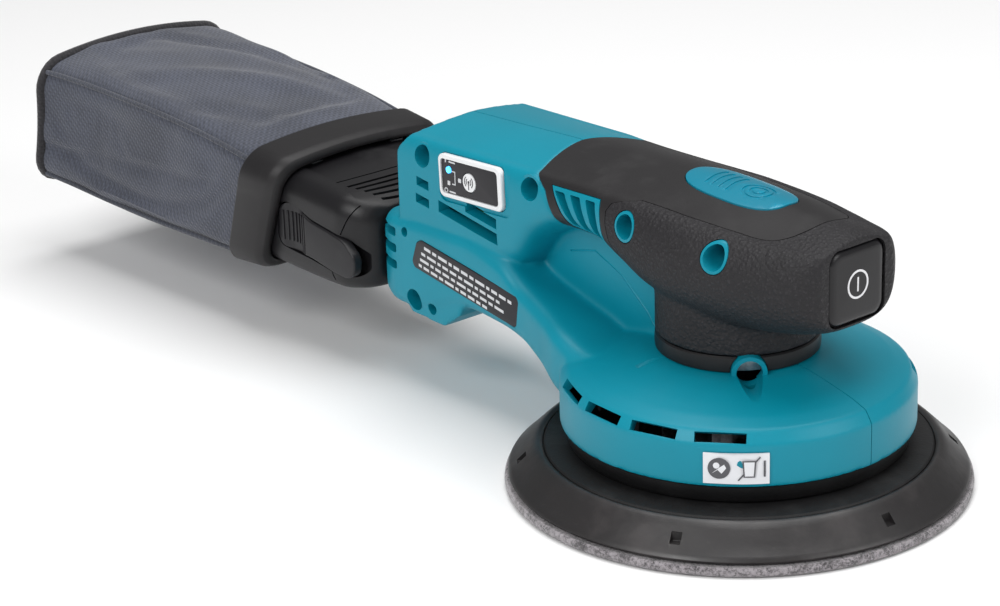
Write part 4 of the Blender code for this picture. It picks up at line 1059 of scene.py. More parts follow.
# ---------------------------------------------------------------- grip, cover, badge and neck

def cover_outline(grow):
    """Plan outline of the smooth strip along the top of the grip."""
    side = [(-80, 22), (-20, 21.4), (0, 21.0), (15, 19.8), (26, 18.2), (31, 16.4), (34.5, 12.5), (36.4, 7.0)]
    near = [(x + (grow if x > 33 else 0), -y - grow) for x, y in side]
    outline = near + [(37.0 + grow, 0.0)] + [(x, -y) for x, y in reversed(near)]
    return round_corners(outline, 3.0, 4)


def smooth_zone(grow):
    """Where the skin is smooth: the strip along the top, and the flanks round the louvre windows."""
    strip_zone = slab("cutter", cover_outline(grow), "z", 86.0, 108)
    edge = ((-12, 55), (-22.6, 70.3), (-27.0, 74.4), (-30.2, 79.0), (-31.8, 84.0), (-32.2, 88.0),
            (-30.6, 90.7),
            (-27.0, 92.0), (-18.0, 93.5), (-18.0, 110))
    flank = slab("cutter", [(-95, 55)] + [(x + grow, z) for x, z in edge] + [(-95, 110)], "y", -50, 50)
    return add_on(strip_zone, flank)


def grip_skin(voxel):
    """The whole skin over handle, head and neck, with every opening in it."""
    whole = gather("grip", [upper_solid(0), neck_column(NECK_RADIUS, SLEEVE_TOP + GAP)])
    melt(whole, voxel, 2)
    soften(whole, 12, lambda p: math.hypot(p.x, p.y) < NECK_RADIUS + 5 and 53 < p.z < 66)
    carve(whole, upper_solid(-SKIN), neck_column(NECK_RADIUS - SKIN, 40), behind_skin(GAP / 2),
          web_solid(GAP),
          slab("cutter", rounded(BUTTON_HALF + GAP, BUTTON_HALF + GAP, 4.5, 8, (0, BUTTON_CENTRE.z)), "x",
               40, 56),
          both_sides(grown(LOUVRE, 0.5), 18, 36))
    for x, z in GRIP_SCREWS.values():
        carve(whole, rod("cutter", (x, -36, z), (x, -18, z), BOSS_RADIUS + GAP))
    return whole


def make_grip(look, cover_look, voxel, most):
    grip = grip_skin(voxel)
    hold(grip)
    bpy.ops.object.duplicate()
    cover = bpy.context.object
    carve(grip, smooth_zone(GAP))
    keep_common(cover, smooth_zone(0))
    carve(cover, carve(slab("cutter", badge_outline(GAP), "z", 88, 106), upper_solid(-1.0)))
    for piece, name, body_look, nodes, slot in (
            (grip, "grip_skin", look, ("grip_right", "grip_left"), "grip_elastomer"),
            (cover, "smooth_cover", cover_look, ("top_cover",), "cover_plastic")):
        piece.name = name
        thin_out(piece, most)
        shade(piece, 38)
        finish_piece(piece, body_look, "housing", nodes)


def badge_outline(grow):
    """A squarish oval."""
    low, high = span("badge")
    outline = []
    for i in range(96):
        turn = math.tau * (i + 0.5) / 96
        along = math.copysign(abs(math.cos(turn)) ** 0.74, math.cos(turn))
        across = math.copysign(abs(math.sin(turn)) ** 0.74, math.sin(turn))
        outline.append(((low.x + high.x) / 2 + ((high.x - low.x) / 2 + grow) * along,
                        (high.y + grow) * across))
    return outline


def make_badge(look):
    """The inset plate on the strip, with a plain pattern of rings and bars pressed into it."""
    plate = keep_common(upper_solid(0.35), slab("cutter", badge_outline(0), "z", 88, 106))
    carve(plate, upper_solid(-0.7))
    rings = [(9.0, 5.4, 4.4), (9.0, 3.0, 2.0)]
    for x, outer, inner in rings:
        ring = carve(rod("cutter", (x, 0, 90), (x, 0, 106), outer, 64),
                     rod("cutter", (x, 0, 89), (x, 0, 107), inner, 64))
        carve(plate, carve(ring, upper_solid(0.05)))
    for i in range(4):
        bar = slab("cutter", round_corners(((-9 + 3 * i, -6), (-7.4 + 3 * i, -6), (-9.4 + 3 * i, 6),
                                            (-11 + 3 * i, 6)), 0.5),
                   "z", 88, 106)
        carve(plate, carve(bar, upper_solid(0.05)))
    fit(plate, "BEVEL", width=0.12 * MM, segments=2, limit_method="ANGLE", angle_limit=BEVEL_ANGLE)
    plate.name = "badge_plate"
    shade(plate, 30)
    finish_piece(plate, look, "housing", ("badge",))


def make_neck(look):
    """The smooth band where the grip meets the shroud, with a rolled upper edge."""
    inner = NECK_RADIUS - SKIN
    low = DOME_TOP + GAP
    ring = turned("neck_band", ((inner, low), (NECK_RADIUS - 0.3, low), (NECK_RADIUS, low + 0.3),
                                (NECK_RADIUS + 0.15, low + 2.2), (NECK_RADIUS, SLEEVE_TOP - 0.5),
                                (NECK_RADIUS - 0.5, SLEEVE_TOP), (inner, SLEEVE_TOP)), 160, closed=True)
    carve(ring, web_solid(GAP), rod("cutter", scoop_point(20, 46.1), scoop_point(30, 45.5), 5.9, 48))
    shade(ring)
    finish_piece(ring, look, "housing", ("neck_sleeve",))


# ---------------------------------------------------------------- pad

def make_pad(felt_look, foam_look, plate_look):
    cx, cy = PAD_CENTRE
    face = turned("loop_face", ((0.01, 0), (PAD_RADIUS - 0.7, 0), (PAD_RADIUS - 0.15, 0.5),
                                (PAD_RADIUS, 1.4),
                                (PAD_RADIUS - 0.15, 2.4), (PAD_RADIUS - 0.6, FELT_TOP), (0.01, FELT_TOP)),
                                256, (cx, cy))
    foam_low = span("backing_pad")[0].z
    foam = turned("foam_rim", ((0.01, foam_low), (FOAM_RADIUS - 1.4, foam_low),
                               (FOAM_RADIUS - 0.5, foam_low + 0.4),
                               (FOAM_RADIUS, foam_low + 1.3), (FOAM_RADIUS - 0.5, foam_low + 2.2),
                               (73.0, 5.9), (70.0, 8.9), (67.0, 11.8), (65.6, 13.1),
                               (FOAM_TOP_RADIUS - 0.2, 13.7),
                               (64.0, PAD_TOP), (63.4, 13.6), (PLATE_RADIUS + GAP, 13.2),
                               (PLATE_RADIUS + GAP, 10.6),
                               (0.01, 10.6)), 256, (cx, cy))
    plate = turned("plate_face", ((0.01, 10.9), (PLATE_RADIUS, 10.9), (PLATE_RADIUS, 13.2),
                                  (PLATE_RADIUS - 0.5, 13.7),
                                  (PLATE_RADIUS - 1.2, 13.8), (0.01, PAD_TOP)), 192, (cx, cy))
    for layer in (face, foam, plate):
        for i in range(DUST_HOLES):
            turn = math.tau * (i + 0.5) / DUST_HOLES
            x, y = cx + DUST_HOLE_RING * math.cos(turn), cy + DUST_HOLE_RING * math.sin(turn)
            carve(layer, rod("cutter", (x, y, -2), (x, y, 18), DUST_HOLE_RADIUS, 40))
    for degrees in NOTCHES:
        turn = Matrix.Rotation(math.radians(degrees), 4, "Z")
        carve(foam, turned_box((1.6, 1.7, 1.6), (Matrix.Translation((69.6, 0, 9.0)), turn,
                                                Matrix.Translation((cx, cy, 0))), 0.25))
    for i in range(3):
        x, y, z = centre_of(f"pad_bolt_{i + 1}")
        carve(plate, rod("cutter", (x, y, 11.7), (x, y, 20), 1.8, 24))
    for piece, look, node, slot in ((face, felt_look, "hook_loop_face", "hook_felt"),
                                    (foam, foam_look, "backing_pad", "pad_foam"),
                                    (plate, plate_look, "pad_plate", "plate_nylon")):
        shade(piece, 35)
        finish_piece(piece, look, "pad", (node,))


def make_brake_ring(look):
    low = span("pad_brake_ring")[0].z
    ring = turned("brake_lip", ((50.5, low), (54.2, low), (54.7, low + 0.5), (55.6, low + 4.6),
                                (55.8, 20.0), (54.0, 20.0),
                                (54.0, 24.0), (50.5, 24.0)), 192, closed=True)
    shade(ring)
    finish_piece(ring, look, "housing", ("pad_brake_ring",))


# ---------------------------------------------------------------- panel, labels, button and screws

def flat_mark(name, outline, y, look, thickness=0.12):
    """A thin printed or moulded mark on the right-hand side, as a raised film."""
    mark = slab(name, outline, "y", y - thickness, y + 0.1)
    return finish_piece(mark, look, "housing")


def arc_outline(centre, radius, width, start, end, steps=20):
    """An outline of part of a ring, in x and z, between two angles in degrees."""
    turns = [math.radians(start + (end - start) * i / steps) for i in range(steps + 1)]
    outer = [(centre[0] + (radius + width / 2) * math.cos(t),
              centre[1] + (radius + width / 2) * math.sin(t)) for t in turns]
    inner = [(centre[0] + (radius - width / 2) * math.cos(t),
              centre[1] + (radius - width / 2) * math.sin(t)) for t in turns]
    return outer + inner[::-1]


def make_panel(white, black, lamp, grey, dark):
    """White bezel, printed face, push button, lamp and plain marks."""
    half_x, half_z = PANEL_SIZE[0] / 2, PANEL_SIZE[1] / 2
    x, y, z = centre_of("mode_button")
    bezel = slab("panel_frame", tilted_outline(half_x, half_z, 2.4), "y", -28.7, -26.6, 0.45)
    carve(bezel, slab("cutter", tilted_outline(half_x - 1.5, half_z - 1.5, 1.5, (-0.3, 0)), "y", -30, -27.4),
          rod("cutter", (x, -30, z), (x, -20, z), 3.7))
    finish_piece(shade(bezel), white, "housing", ("panel_bezel",))
    face = slab("panel_film", tilted_outline(half_x - 1.7, half_z - 1.7, 1.3, (-0.3, 0)), "y", -28.3, -27.7,
                0.1)
    lamp_x, lamp_y, lamp_z = centre_of("status_lamp")
    carve(face, rod("cutter", (x, -30, z), (x, -20, z), 3.5),
          rod("cutter", (lamp_x, -30, lamp_z), (lamp_x, -20, lamp_z), 1.4, 24))
    finish_piece(shade(face), black, "housing", ("panel_face",))
    button = rod("mode_key", (x, -28.5, z), (x, -26.9, z), 3.2, 64)
    fit(button, "BEVEL", width=0.25 * MM, segments=3, limit_method="ANGLE", angle_limit=BEVEL_ANGLE)
    finish_piece(shade(button), white, "mode_button", ("mode_button",))
    lens = rod("lamp_lens", (lamp_x, -28.6, lamp_z), (lamp_x, -27.7, lamp_z), 1.15, 32)
    finish_piece(shade(lens), lamp, "housing", ("status_lamp",))
    for i, (radius, start, end) in enumerate(((1.2, -50, 50), (2.1, -50, 50), (1.2, 130, 230),
                                              (2.1, 130, 230))):
        mark = slab(f"mode_mark_{i + 1}", arc_outline((x, z + 0.3), radius, 0.3, start, end), "y", -28.62,
                    -28.4)
        finish_piece(mark, dark, "mode_button")
    stem = gather("mode_mark_5", [slab("mark", ((x - 0.18, z - 2.4), (x + 0.18, z - 2.4), (x + 0.18, z),
                                                (x - 0.18, z)),
                                       "y", PRINT_OUT, PRINT_IN),
                                       rod("mark", (x, -28.62, z + 0.3), (x, -28.4, z + 0.3), 0.45, 24)])
    finish_piece(stem, dark, "mode_button")
    rules = (((-101.4, 82.6), 1.5, 1.4), ((-107.0, 80.6), 1.3, 1.5))
    for i, (place, wide, high) in enumerate(rules):
        flat_mark(f"panel_tile_{i + 1}", rounded(wide / 2, high / 2, 0.2, 3, place), -28.3, grey)
    bracket = ((-105.3, 85.2), (-103.6, 85.2), (-103.6, 80.4), (-105.3, 80.4), (-105.3, 80.75),
               (-103.95, 80.75),
               (-103.95, 84.85), (-105.3, 84.85))
    flat_mark("panel_bracket", bracket, -28.3, grey)
    dashes = (((-108.5, 88.2), 0.25, 1.3), ((-105.2, 88.1), 1.6, 0.5), ((-105.2, 77.7), 1.6, 0.5))
    for i, (place, half_wide, high) in enumerate(dashes):
        flat_mark(f"panel_dash_{i + 1}", rounded(half_wide, high / 2, 0.12, 3, place), -28.3, grey)
    flat_mark("panel_ring", arc_outline((-108.5, 77.8), 0.75, 0.3, 0, 359.9, 30), -28.3, grey)


def make_labels(plate_look, white_look, print_look, grey_look):
    """The rating plate with plain ruled bars, and the white sticker with plain shapes."""
    plate = slab("rating_film", rating_outline(), "y", -29.85, -29.3, 0.12, 2)
    finish_piece(shade(plate), plate_look, "housing", ("rating_plate",))
    lean = math.atan2(48.0 - 57.0, -72.0 + 121.5)
    rows = (((-119.8, 54.6), 45.5, 0.55), ((-121.4, 52.3), 41.0, 0.5), ((-122.2, 50.0), 44.0, 0.5),
            ((-123.0, 47.8), 36.0, 0.5))
    for i, ((x, z), length, height) in enumerate(rows):
        pieces = []
        run = 0.0
        step = 0
        while run < length:
            wide = (3.4, 2.1, 4.6, 1.6, 2.9)[(step + i) % 5]
            start = Vector((x + run * math.cos(lean), z + run * math.sin(lean)))
            along = Vector((math.cos(lean), math.sin(lean))) * min(wide, length - run)
            up = Vector((0, height))
            pieces.append(slab("bar", [tuple(p) for p in (start - up, start + along - up,
                                                          start + along + up, start + up)],
                               "y", -29.9, -29.8))
            run += wide + 1.0
            step += 1
        finish_piece(gather(f"rating_row_{i + 1}", pieces), print_look, "housing")
    low, high = span("info_sticker")
    radius = SHROUD_RADIUS + GAP
    middle = math.atan2(low.y + high.y, low.x + high.x)
    half = math.radians(10.0)
    z_low, z_high = low.z, high.z
    rings = []
    for along, up in rounded(half, (z_high - z_low) / 2, 0.02, 4, (middle, 0), 12):
        rings.append((along, up + (z_low + z_high) / 2))
    sticker = skin("care_sticker", [[(r * math.cos(t), r * math.sin(t), z) for t,
                                     z in rings] for r in (radius, radius + 0.35)])
    finish_piece(shade(sticker), white_look, "housing", ("info_sticker",))

    def wrapped(name, outline, look):
        """A flat outline in millimetres, wrapped onto the sticker."""
        loops = [[(r * math.cos(middle + u / radius), r * math.sin(middle + u / radius), 26.9 + v) for u,
                  v in outline]
                 for r in (radius + 0.3, radius + 0.42)]
        return finish_piece(skin(name, loops), look, "housing")

    wrapped("sticker_disc", oval((-5.2, 0.1), 3.4, 3.4), grey_look)
    wrapped("sticker_disc_dot", oval((-6.0, 1.0), 1.0, 1.0), white_look)
    wrapped("sticker_disc_leaf", ((-7.6, -1.8), (-5.6, -0.4), (-4.4, -1.6), (-3.0, 0.2), (-3.6, 1.4),
                                  (-5.0, 0.4)), white_look)
    wrapped("sticker_box", ((2.2, -2.8), (5.6, -2.8), (6.0, 2.6), (1.8, 2.6)), grey_look)
    wrapped("sticker_box_face", ((2.6, -2.4), (5.2, -2.4), (5.5, 2.2), (2.3, 2.2)), white_look)
    wrapped("sticker_slash", ((0.4, -3.7), (0.8, -3.9), (7.4, 3.7), (7.0, 3.9)), grey_look)
    wrapped("sticker_rule", ((8.2, -2.6), (8.8, -2.6), (8.8, 2.6), (8.2, 2.6)), grey_look)


def make_power_button(look, mark_look):
    """The front button: a rounded square with a domed face and a ring-and-bar mark."""
    z = BUTTON_CENTRE.z
    layers = ((44.6, 0.0), (48.2, 0.0), (49.2, 0.25), (49.9, 0.9), (50.2, 1.8), (BUTTON_FACE, 3.0))
    rings = [[(x, y, height) for y, height in rounded(BUTTON_HALF - inset, BUTTON_HALF - inset,
                                                      max(1.2, 4.4 - inset * 0.6), 10,
                                                      (0, z), 6)] for x, inset in layers]
    spring = centre_of("power_button_spring")
    seat = rod("cutter", (43, spring.y, spring.z), (47.4, spring.y, spring.z), 5.6)
    button = carve(skin("start_button", rings), seat)
    fit(button, "BEVEL", width=0.3 * MM, segments=2, limit_method="ANGLE", angle_limit=math.radians(60))
    finish_piece(shade(button, 60), look, "power_button", ("power_button",))
    ring = skin("start_ring", [[(x, radius * math.cos(math.tau * i / 64),
                                 z + radius * math.sin(math.tau * i / 64))
                                for i in range(64)] for x,
                                radius in ((MARK_BACK, 4.6), (MARK_FRONT, 4.6), (MARK_FRONT, 3.9), (MARK_BACK, 3.9))],
                closed=True)
    finish_piece(ring, mark_look, "power_button")
    bar = box("start_bar", (MARK_BACK, -0.32, z - 2.3), (MARK_FRONT, 0.32, z + 2.3))
    finish_piece(bar, mark_look, "power_button")


def make_screws(look):
    """Pan heads with a six-lobed socket on plain shanks."""
    for name in (*GRIP_SCREWS, *BODY_SCREWS):
        low, high = span(name)
        x, z = (low.x + high.x) / 2, (low.z + high.z) / 2
        profile = ((0.01, 0.0), (SCREW_SHANK, 0.0), (SCREW_SHANK, high.y + 18.3),
                   (SCREW_HEAD, high.y + 18.3),
                   (SCREW_HEAD, high.y + 19.8), (SCREW_HEAD - 0.4, high.y + 20.6),
                   (SCREW_HEAD - 1.2, high.y + 21.1),
                   (0.01, high.y + 21.1))
        screw = turned(f"{name}_head", profile, 48)
        lobes = [((SOCKET_RADIUS + SOCKET_LOBE * math.cos(6 * math.tau * i / 72)) * math.cos(math.tau * i / 72),
                  (SOCKET_RADIUS + SOCKET_LOBE * math.cos(6 * math.tau * i / 72)) * math.sin(math.tau * i / 72))
                  for i in range(72)]
        carve(screw, slab("cutter", lobes, "z", high.y + 19.3, high.y + 24))
        screw.data.transform(Matrix.Translation(Vector((x, high.y,
                                                        z)) * MM) @ Matrix.Rotation(math.radians(90), 4,
                                                                                    "X"))
        finish_piece(shade(screw), look, "housing", (name,))


def make_speed_dial(look, mark_look):
    """The ribbed wheel in the left-hand side, with a pointer line."""
    low, high = span("speed_dial")
    x, y, z = centre_of("speed_dial")
    radius = (high.x - low.x) / 2
    outline = []
    for i in range(144):
        turn = math.tau * i / 144
        outline.append((x + (radius - 0.28 + 0.28 * math.cos(24 * turn)) * math.cos(turn),
                        z + (radius - 0.28 + 0.28 * math.cos(24 * turn)) * math.sin(turn)))
    dial = slab("speed_wheel", outline, "y", low.y, high.y, 0.25, 2)
    carve(dial, rod("cutter", (x, high.y - 0.5, z), (x, high.y + 2, z), radius - 1.8, 64))
    finish_piece(shade(dial, 35), look, "speed_dial", ("speed_dial",))
    pointer = box("speed_pointer", (x - 0.35, high.y - 0.6, z + 1.6), (x + 0.35, high.y - 0.42, z + 5.0),
                  0.05)
    finish_piece(pointer, mark_look, "speed_dial")


# ---------------------------------------------------------------- dust box, latches, collar and bag

def arc_strip(x_middle, half_length, width, sag):
    """A curved strip across the tool, in x and y, bowed forward in its middle by sag."""
    steps = 16
    shares = [2 * i / steps - 1 for i in range(steps + 1)]
    line = [(x_middle - sag * share * share, half_length * share) for share in shares]
    return [(x + width / 2, y) for x, y in line] + [(x - width / 2, y) for x, y in reversed(line)]


def box_sections():
    return smooth_stations(((-197, -211, BOX_SIDE, 29.6, 65.4, 2.8), (-178, -186, BOX_SIDE, 28.6, 64.4, 2.4),
                            (-164, -166, 34.0, 28.2, 63.2, 2.0), (-158, -158.6, 32.0, 29.0, 62.2, 1.6),
                            (-153, -153, 28.2, 30.4, 60.4, 1.2), (BOX_FRONT, BOX_FRONT, 24, 32, 59, 1.0)),
                            1.5)


def latch_outline(grow=0.0):
    """The lever's S-shaped outline, in x and z."""
    points = ((-197.0, 41.5), (-196.0, 53.0), (-192.0, 55.3), (-185.0, 54.6), (-178.0, 51.6), (-168.0, 50.2),
              (-159.0, 48.6), (-152.6, 43.5), (-153.2, 37.2), (-157.5, 34.8), (-167.0, 35.6), (-178.0, 37.6),
              (-189.0, 38.0), (-195.0, 38.6))
    return round_corners(grown(points, grow), 2.4, 4)


def make_dust_box(look, pale_look):
    whole = skin("dust_box_shell", [slanted_loop(section, 7) for section in box_sections()])
    half, bottom, top = OUTLET
    middle = (0, (bottom + top) / 2)
    spigot = slab("spigot", rounded(half - 0.4, (top - bottom) / 2 - 0.4, 3.6, 8, middle), "x",
                  BOX_FRONT - 1, BOX_FRONT + 9)
    whole = gather("dust_box_shell", [whole, spigot])
    melt(whole, 0.7, 5)
    room = skin("cutter", [slanted_loop(section, 4) for section in ((-156, -156, 24.5, 33, 57.5, 1.0),
                                                                  (-196, -196, 24.5, 33, 60.5, 1.4),
                                                                  (-216, -216, 24.5, 33, 61.5, 1.6))])
    bore = slab("cutter", rounded(half - 2.6, (top - bottom) / 2 - 2.6, 2.2, 8, middle), "x", -160,
                BOX_FRONT + 12)
    carve(whole, room, bore)
    for side in (-1, 1):
        near, far = sorted((side * 27.4, side * 38))
        pin_x, pin_y = LATCH_PIN.x, side * abs(LATCH_PIN.y)
        carve(whole, slab("cutter", latch_outline(0.7), "y", near, far),
              rod("cutter", (pin_x, pin_y, 32.6), (pin_x, pin_y, 54.4), 1.5, 24))
    recess = round_corners(((-205, -25.5), (-174.5, -25.5), (-157.5, -28.5), (-153.5, -22), (-152.0, 0),
                            (-153.5, 22),
                            (-157.5, 28.5), (-174.5, 25.5), (-205, 25.5)), 4)
    lid = skin("cutter", [slanted_loop((x_top, x_low, side, low, high - 0.9, crown), 7)
                          for x_top, x_low, side, low, high, crown in box_sections()])
    carve(whole, carve(slab("cutter", recess, "z", 55, 75), lid))
    for i in range(5):
        carve(whole, slab("cutter", arc_strip(-166.4 + 3.3 * i, 24.0 - 1.2 * i, 1.3, 2.4), "z", 59.2, 70))
    step = skin("cutter", [slanted_loop((x_top, x_low, side, low, high - 1.5, crown), 7)
                           for x_top, x_low, side, low, high, crown in box_sections()])
    carve(whole, carve(slab("cutter", arc_strip(-171.5, 25.0, 0.7, 2.8), "z", 55, 75), step))
    for side in (-1, 1):
        near, far = sorted((side * 33.0, side * 40))
        front = slab("cutter", ((-154.2, 66), (-159.2, 56), (-162.2, 50), (-161.6, 50), (-158.6, 56),
                                (-153.6, 66)),
                     "y", *sorted((side * 28.0, side * 40)))
        foot = slab("cutter", ((-167.2, 35), (-165.0, 26), (-164.4, 26), (-166.6, 35)), "y", near, far)
        groove = skin("cutter", [slanted_loop((x_top, x_low, half_y - 0.6, low + 0.6, high - 0.6, crown), 7)
                                 for x_top, x_low, half_y, low, high, crown in box_sections()])
        carve(whole, carve(gather("cutter", [front, foot]), groove))
    finish_piece(shade(thin_out(whole, 150000), 38), look, "dust_unit", ("dust_box",))
    for i, side in enumerate((-1, 1)):
        y_low, y_high = sorted((side * 21.5, side * 14.0))
        tab = slab(f"snap_window_{i + 1}", ((-196.5, y_low), (-193.4, y_low + 1.2), (-193.4, y_high - 0.2),
                                            (-196.5, y_high)),
                   "z", 63.4, 66.5, 0.2)
        finish_piece(tab, pale_look, "dust_unit")


def make_latches(look):
    for suffix, side in (("right", -1), ("left", 1)):
        near, far = sorted((side * 31.2, side * (BOX_SIDE + 0.5)))
        pin_x, pin_y = LATCH_PIN.x, side * abs(LATCH_PIN.y)
        lever = slab(f"latch_lever_{suffix}", latch_outline(), "y", near, far, 0.7, 3)
        add_on(lever, rod("knuckle", (pin_x, pin_y, 37.6), (pin_x, pin_y, 49.6), 2.9, 48))
        scoop = rod("cutter", (-187.2, side * (BOX_SIDE + 13.2), 30),
                    (-187.2, side * (BOX_SIDE + 13.2), 60), 14.2, 96)
        carve(lever, scoop)
        for i in range(7):
            x = -193.4 + 1.9 * i
            depth = math.sqrt(14.2 ** 2 - (x + 187.2) ** 2) - 13.2
            outer = BOX_SIDE - depth + 0.45
            low, high = sorted((side * (outer - 1.5), side * outer))
            add_on(lever, box("rib", (x - 0.42, low, 41.0), (x + 0.42, high, 52.2), 0.25, 2))
        carve(lever, rod("cutter", (pin_x, pin_y, 30), (pin_x, pin_y, 60), 1.5, 32))
        finish_piece(shade(lever, 35), look, f"latch_{suffix}", (f"latch_{suffix}",))


def make_collar(look):
    """The frame that holds the bag's mouth, with a rolled front lip."""
    rows = (((-190.5, -204.5, 34.9, 29.0, 66.0, 2.9), 7), ((-190.3, -204.3, 36.6, 28.0, 67.4, 3.0), 8),
            ((-191.0, -205.0, 38.6, 26.9, 69.0, 3.1), 9), ((-193.2, -207.2, 39.7, 26.3, 70.1, 3.2), 9),
            ((-194.6, -208.6, 40.1, 26.2, 70.3, 3.2), 9), ((-207.6, -221.4, 41.2, 25.9, 71.2, 3.6), 9),
            ((-208.6, -222.4, 40.9, 26.2, 70.9, 3.6), 9), ((-208.6, -222.4, 38.9, 28.2, 69.6, 3.6), 7),
            ((-199.8, -213.8, 38.5, 28.5, 68.6, 3.2), 7), ((-199.4, -213.4, 34.9, 29.0, 66.0, 2.9), 7))
    collar = skin("mouth_frame", [slanted_loop(section, radius) for section, radius in rows], closed=True)
    fit(collar, "BEVEL", width=0.35 * MM, segments=2, limit_method="ANGLE", angle_limit=math.radians(35))
    finish_piece(shade(collar, 35), look, "dust_unit", ("bag_collar",))


def bag_sections():
    """The cloth's cross-sections from the rear end to the mouth, with the pinch of the side folds."""
    stations = [(*section, pinch) for section, pinch in zip(BAG_SECTIONS, BAG_PINCH)]
    return smooth_stations(stations[::-1], 1.8)[::-1]


def bag_rings():
    sections = bag_sections()
    rings = []
    for i, (*section, crown, pinch) in enumerate(sections):
        share = i / (len(sections) - 1)
        rings.append(slanted_loop((*section, crown + 4.2 * share), 6 + 4 * share, 0, 0, pinch, 6, 14))
    return rings


def wrinkle(point):
    """How far a point of the cloth moves outwards: sagging panels, folds and a crease along each side."""
    x, y, z = point
    length = (x + 217) / -128
    inside = max(0.0, min(1.0, length * 6)) * max(0.0, min(1.0, (1.02 - length) * 9))
    top = max(0.0, min(1.0, (z - 60) / 8))
    side = max(0.0, min(1.0, (abs(y) - 33) / 3)) * (1 - top)
    amount = 0.0
    for start, end, width, height in (((-300, -26), (-222, 28), 4.6, 2.0), ((-325, 2), (-226, 33), 5.4, 1.7),
                                      ((-268, -30), (-218, -6), 3.8, 1.2),
                                      ((-336, 6), (-262, 36), 4.4, -1.4),
                                      ((-338, -20), (-300, -2), 4.6, 1.2),
                                      ((-250, -36), (-222, -20), 3.4, 1.0)):
        start, end = Vector(start), Vector(end)
        along = end - start
        share = max(0.0, min(1.0, (Vector((x, y)) - start).dot(along) / along.length_squared))
        off = (Vector((x, y)) - start - along * share).length
        amount += top * height * math.exp(-(off / width) ** 2) * math.sin(math.pi * (0.15 + 0.7 * share))
    crease = z - (55.0 - 10.0 * length if y < 0 else 52.0 - 5.0 * length)
    amount -= side * 1.9 * math.exp(-(crease / 2.4) ** 2)
    amount += side * 1.3 * math.exp(-((crease - 6.5) / 5) ** 2)
    amount += 0.5 * math.sin(x * 0.11 + y * 0.07) * math.cos(y * 0.13 - x * 0.05 + z * 0.09)
    return amount * inside


def tube_along(name, path, radius, up, closed=False, sides=12):
    """A round cord of cloth along a path of points in millimetres that is never parallel to up."""
    points = [Vector(p) for p in path]
    count = len(points)
    rings = []
    for i, point in enumerate(points):
        before = points[i - 1] if closed or i else point
        after = points[(i + 1) % count] if closed or i < count - 1 else point
        along = (after - before).normalized()
        across = along.cross(Vector(up)).normalized()
        over = across.cross(along)
        turns = [math.tau * k / sides for k in range(sides)]
        rings.append([tuple(point + radius * (across * math.cos(turn) + over * math.sin(turn)))
                      for turn in turns])
    return skin(name, rings, closed)


def unroll(piece):
    """Lay a flat map in metres on each face, along the axes it faces least."""
    flat = piece.data.uv_layers.active or piece.data.uv_layers.new(name="UVMap")
    for face in piece.data.polygons:
        axis = max(range(3), key=lambda k: abs(face.normal[k]))
        first, second = [k for k in range(3) if k != axis]
        for loop in face.loop_indices:
            point = piece.data.vertices[piece.data.loops[loop].vertex_index].co
            flat.data[loop].uv = (point[first], point[second])
    return piece


def make_bag(look, seam_look, tape_look):
    rings = bag_rings()
    end = rings[-1]
    middle = sum((Vector(point) for point in end), Vector()) / len(end)
    for share in (0.86, 0.7, 0.52, 0.34, 0.16, 0.0):
        shift = Vector((1.2 * (1 - share), 0, 0))
        rings.append([tuple(middle.lerp(Vector(point), share) + shift) for point in end])
    bag = skin("cloth_bag", rings, open_ends=True)
    for vertex in bag.data.vertices:
        point = vertex.co / MM
        outward = vertex.normal
        vertex.co += outward * wrinkle(point) * MM
    drape(bag)
    unroll(bag)
    fit(bag, "SOLIDIFY", thickness=1.1 * MM, offset=-1.0)
    bag = finish_piece(shade(bag, 60), look, "dust_unit", ("dust_bag",))
    per_ring = len(end)
    quarter = per_ring // 4
    body_rings = rings[3:len(bag_sections()) - 1]
    for i in range(4):
        corner = quarter * i + 3
        path = [ring[corner] for ring in body_rings]
        outward = Vector((0, 1 if i in (0, 3) else -1, 1 if i < 2 else -1)).normalized() * 0.5
        path = [tuple(Vector(point) + outward) for point in path]
        seam = unroll(tube_along(f"bag_seam_{i + 1}", path, 0.95, (0, 0, 1)))
        finish_piece(shade(seam, 60), seam_look, "dust_unit", ())
    tape = unroll(tube_along("bag_end_tape", end, 1.9, (1, 0, 0), closed=True, sides=14))
    finish_piece(shade(tape, 60), tape_look, "dust_unit", ())


def drape(bag):
    """Let the cloth settle for a few frames, held at its mouth, its rear end and its seams."""
    hold(bag)
    held = bag.vertex_groups.new(name="held")
    rest = [vertex.co.copy() for vertex in bag.data.vertices]
    firm = []
    for vertex in bag.data.vertices:
        point = vertex.co / MM
        corner = abs(point.y) > 33 and (point.z > 66 or point.z < 33)
        if point.x > -222 or point.x < -333 or corner:
            firm.append(vertex.index)
    held.add(firm, 1.0, "REPLACE")
    cloth = bag.modifiers.new("cloth", "CLOTH")
    cloth.settings.vertex_group_mass = held.name
    cloth.settings.quality = 6
    cloth.settings.mass = 0.25
    cloth.settings.tension_stiffness = 25
    cloth.settings.compression_stiffness = 25
    cloth.settings.bending_stiffness = 1.5
    cloth.settings.use_pressure = True
    cloth.settings.uniform_pressure_force = 0.6
    cloth.settings.effector_weights.gravity = 0.4
    cloth.collision_settings.use_collision = False
    scene = bpy.context.scene
    for step in range(1, CLOTH_FRAMES + 1):
        scene.frame_set(step)
    bpy.ops.object.modifier_apply(modifier=cloth.name)
    scene.frame_set(1)
    for vertex, start in zip(bag.data.vertices, rest):
        moved = vertex.co - start
        if moved.length > CLOTH_REACH * MM:
            vertex.co = start + moved.normalized() * CLOTH_REACH * MM
    bag.vertex_groups.clear()


# ---------------------------------------------------------------- stage

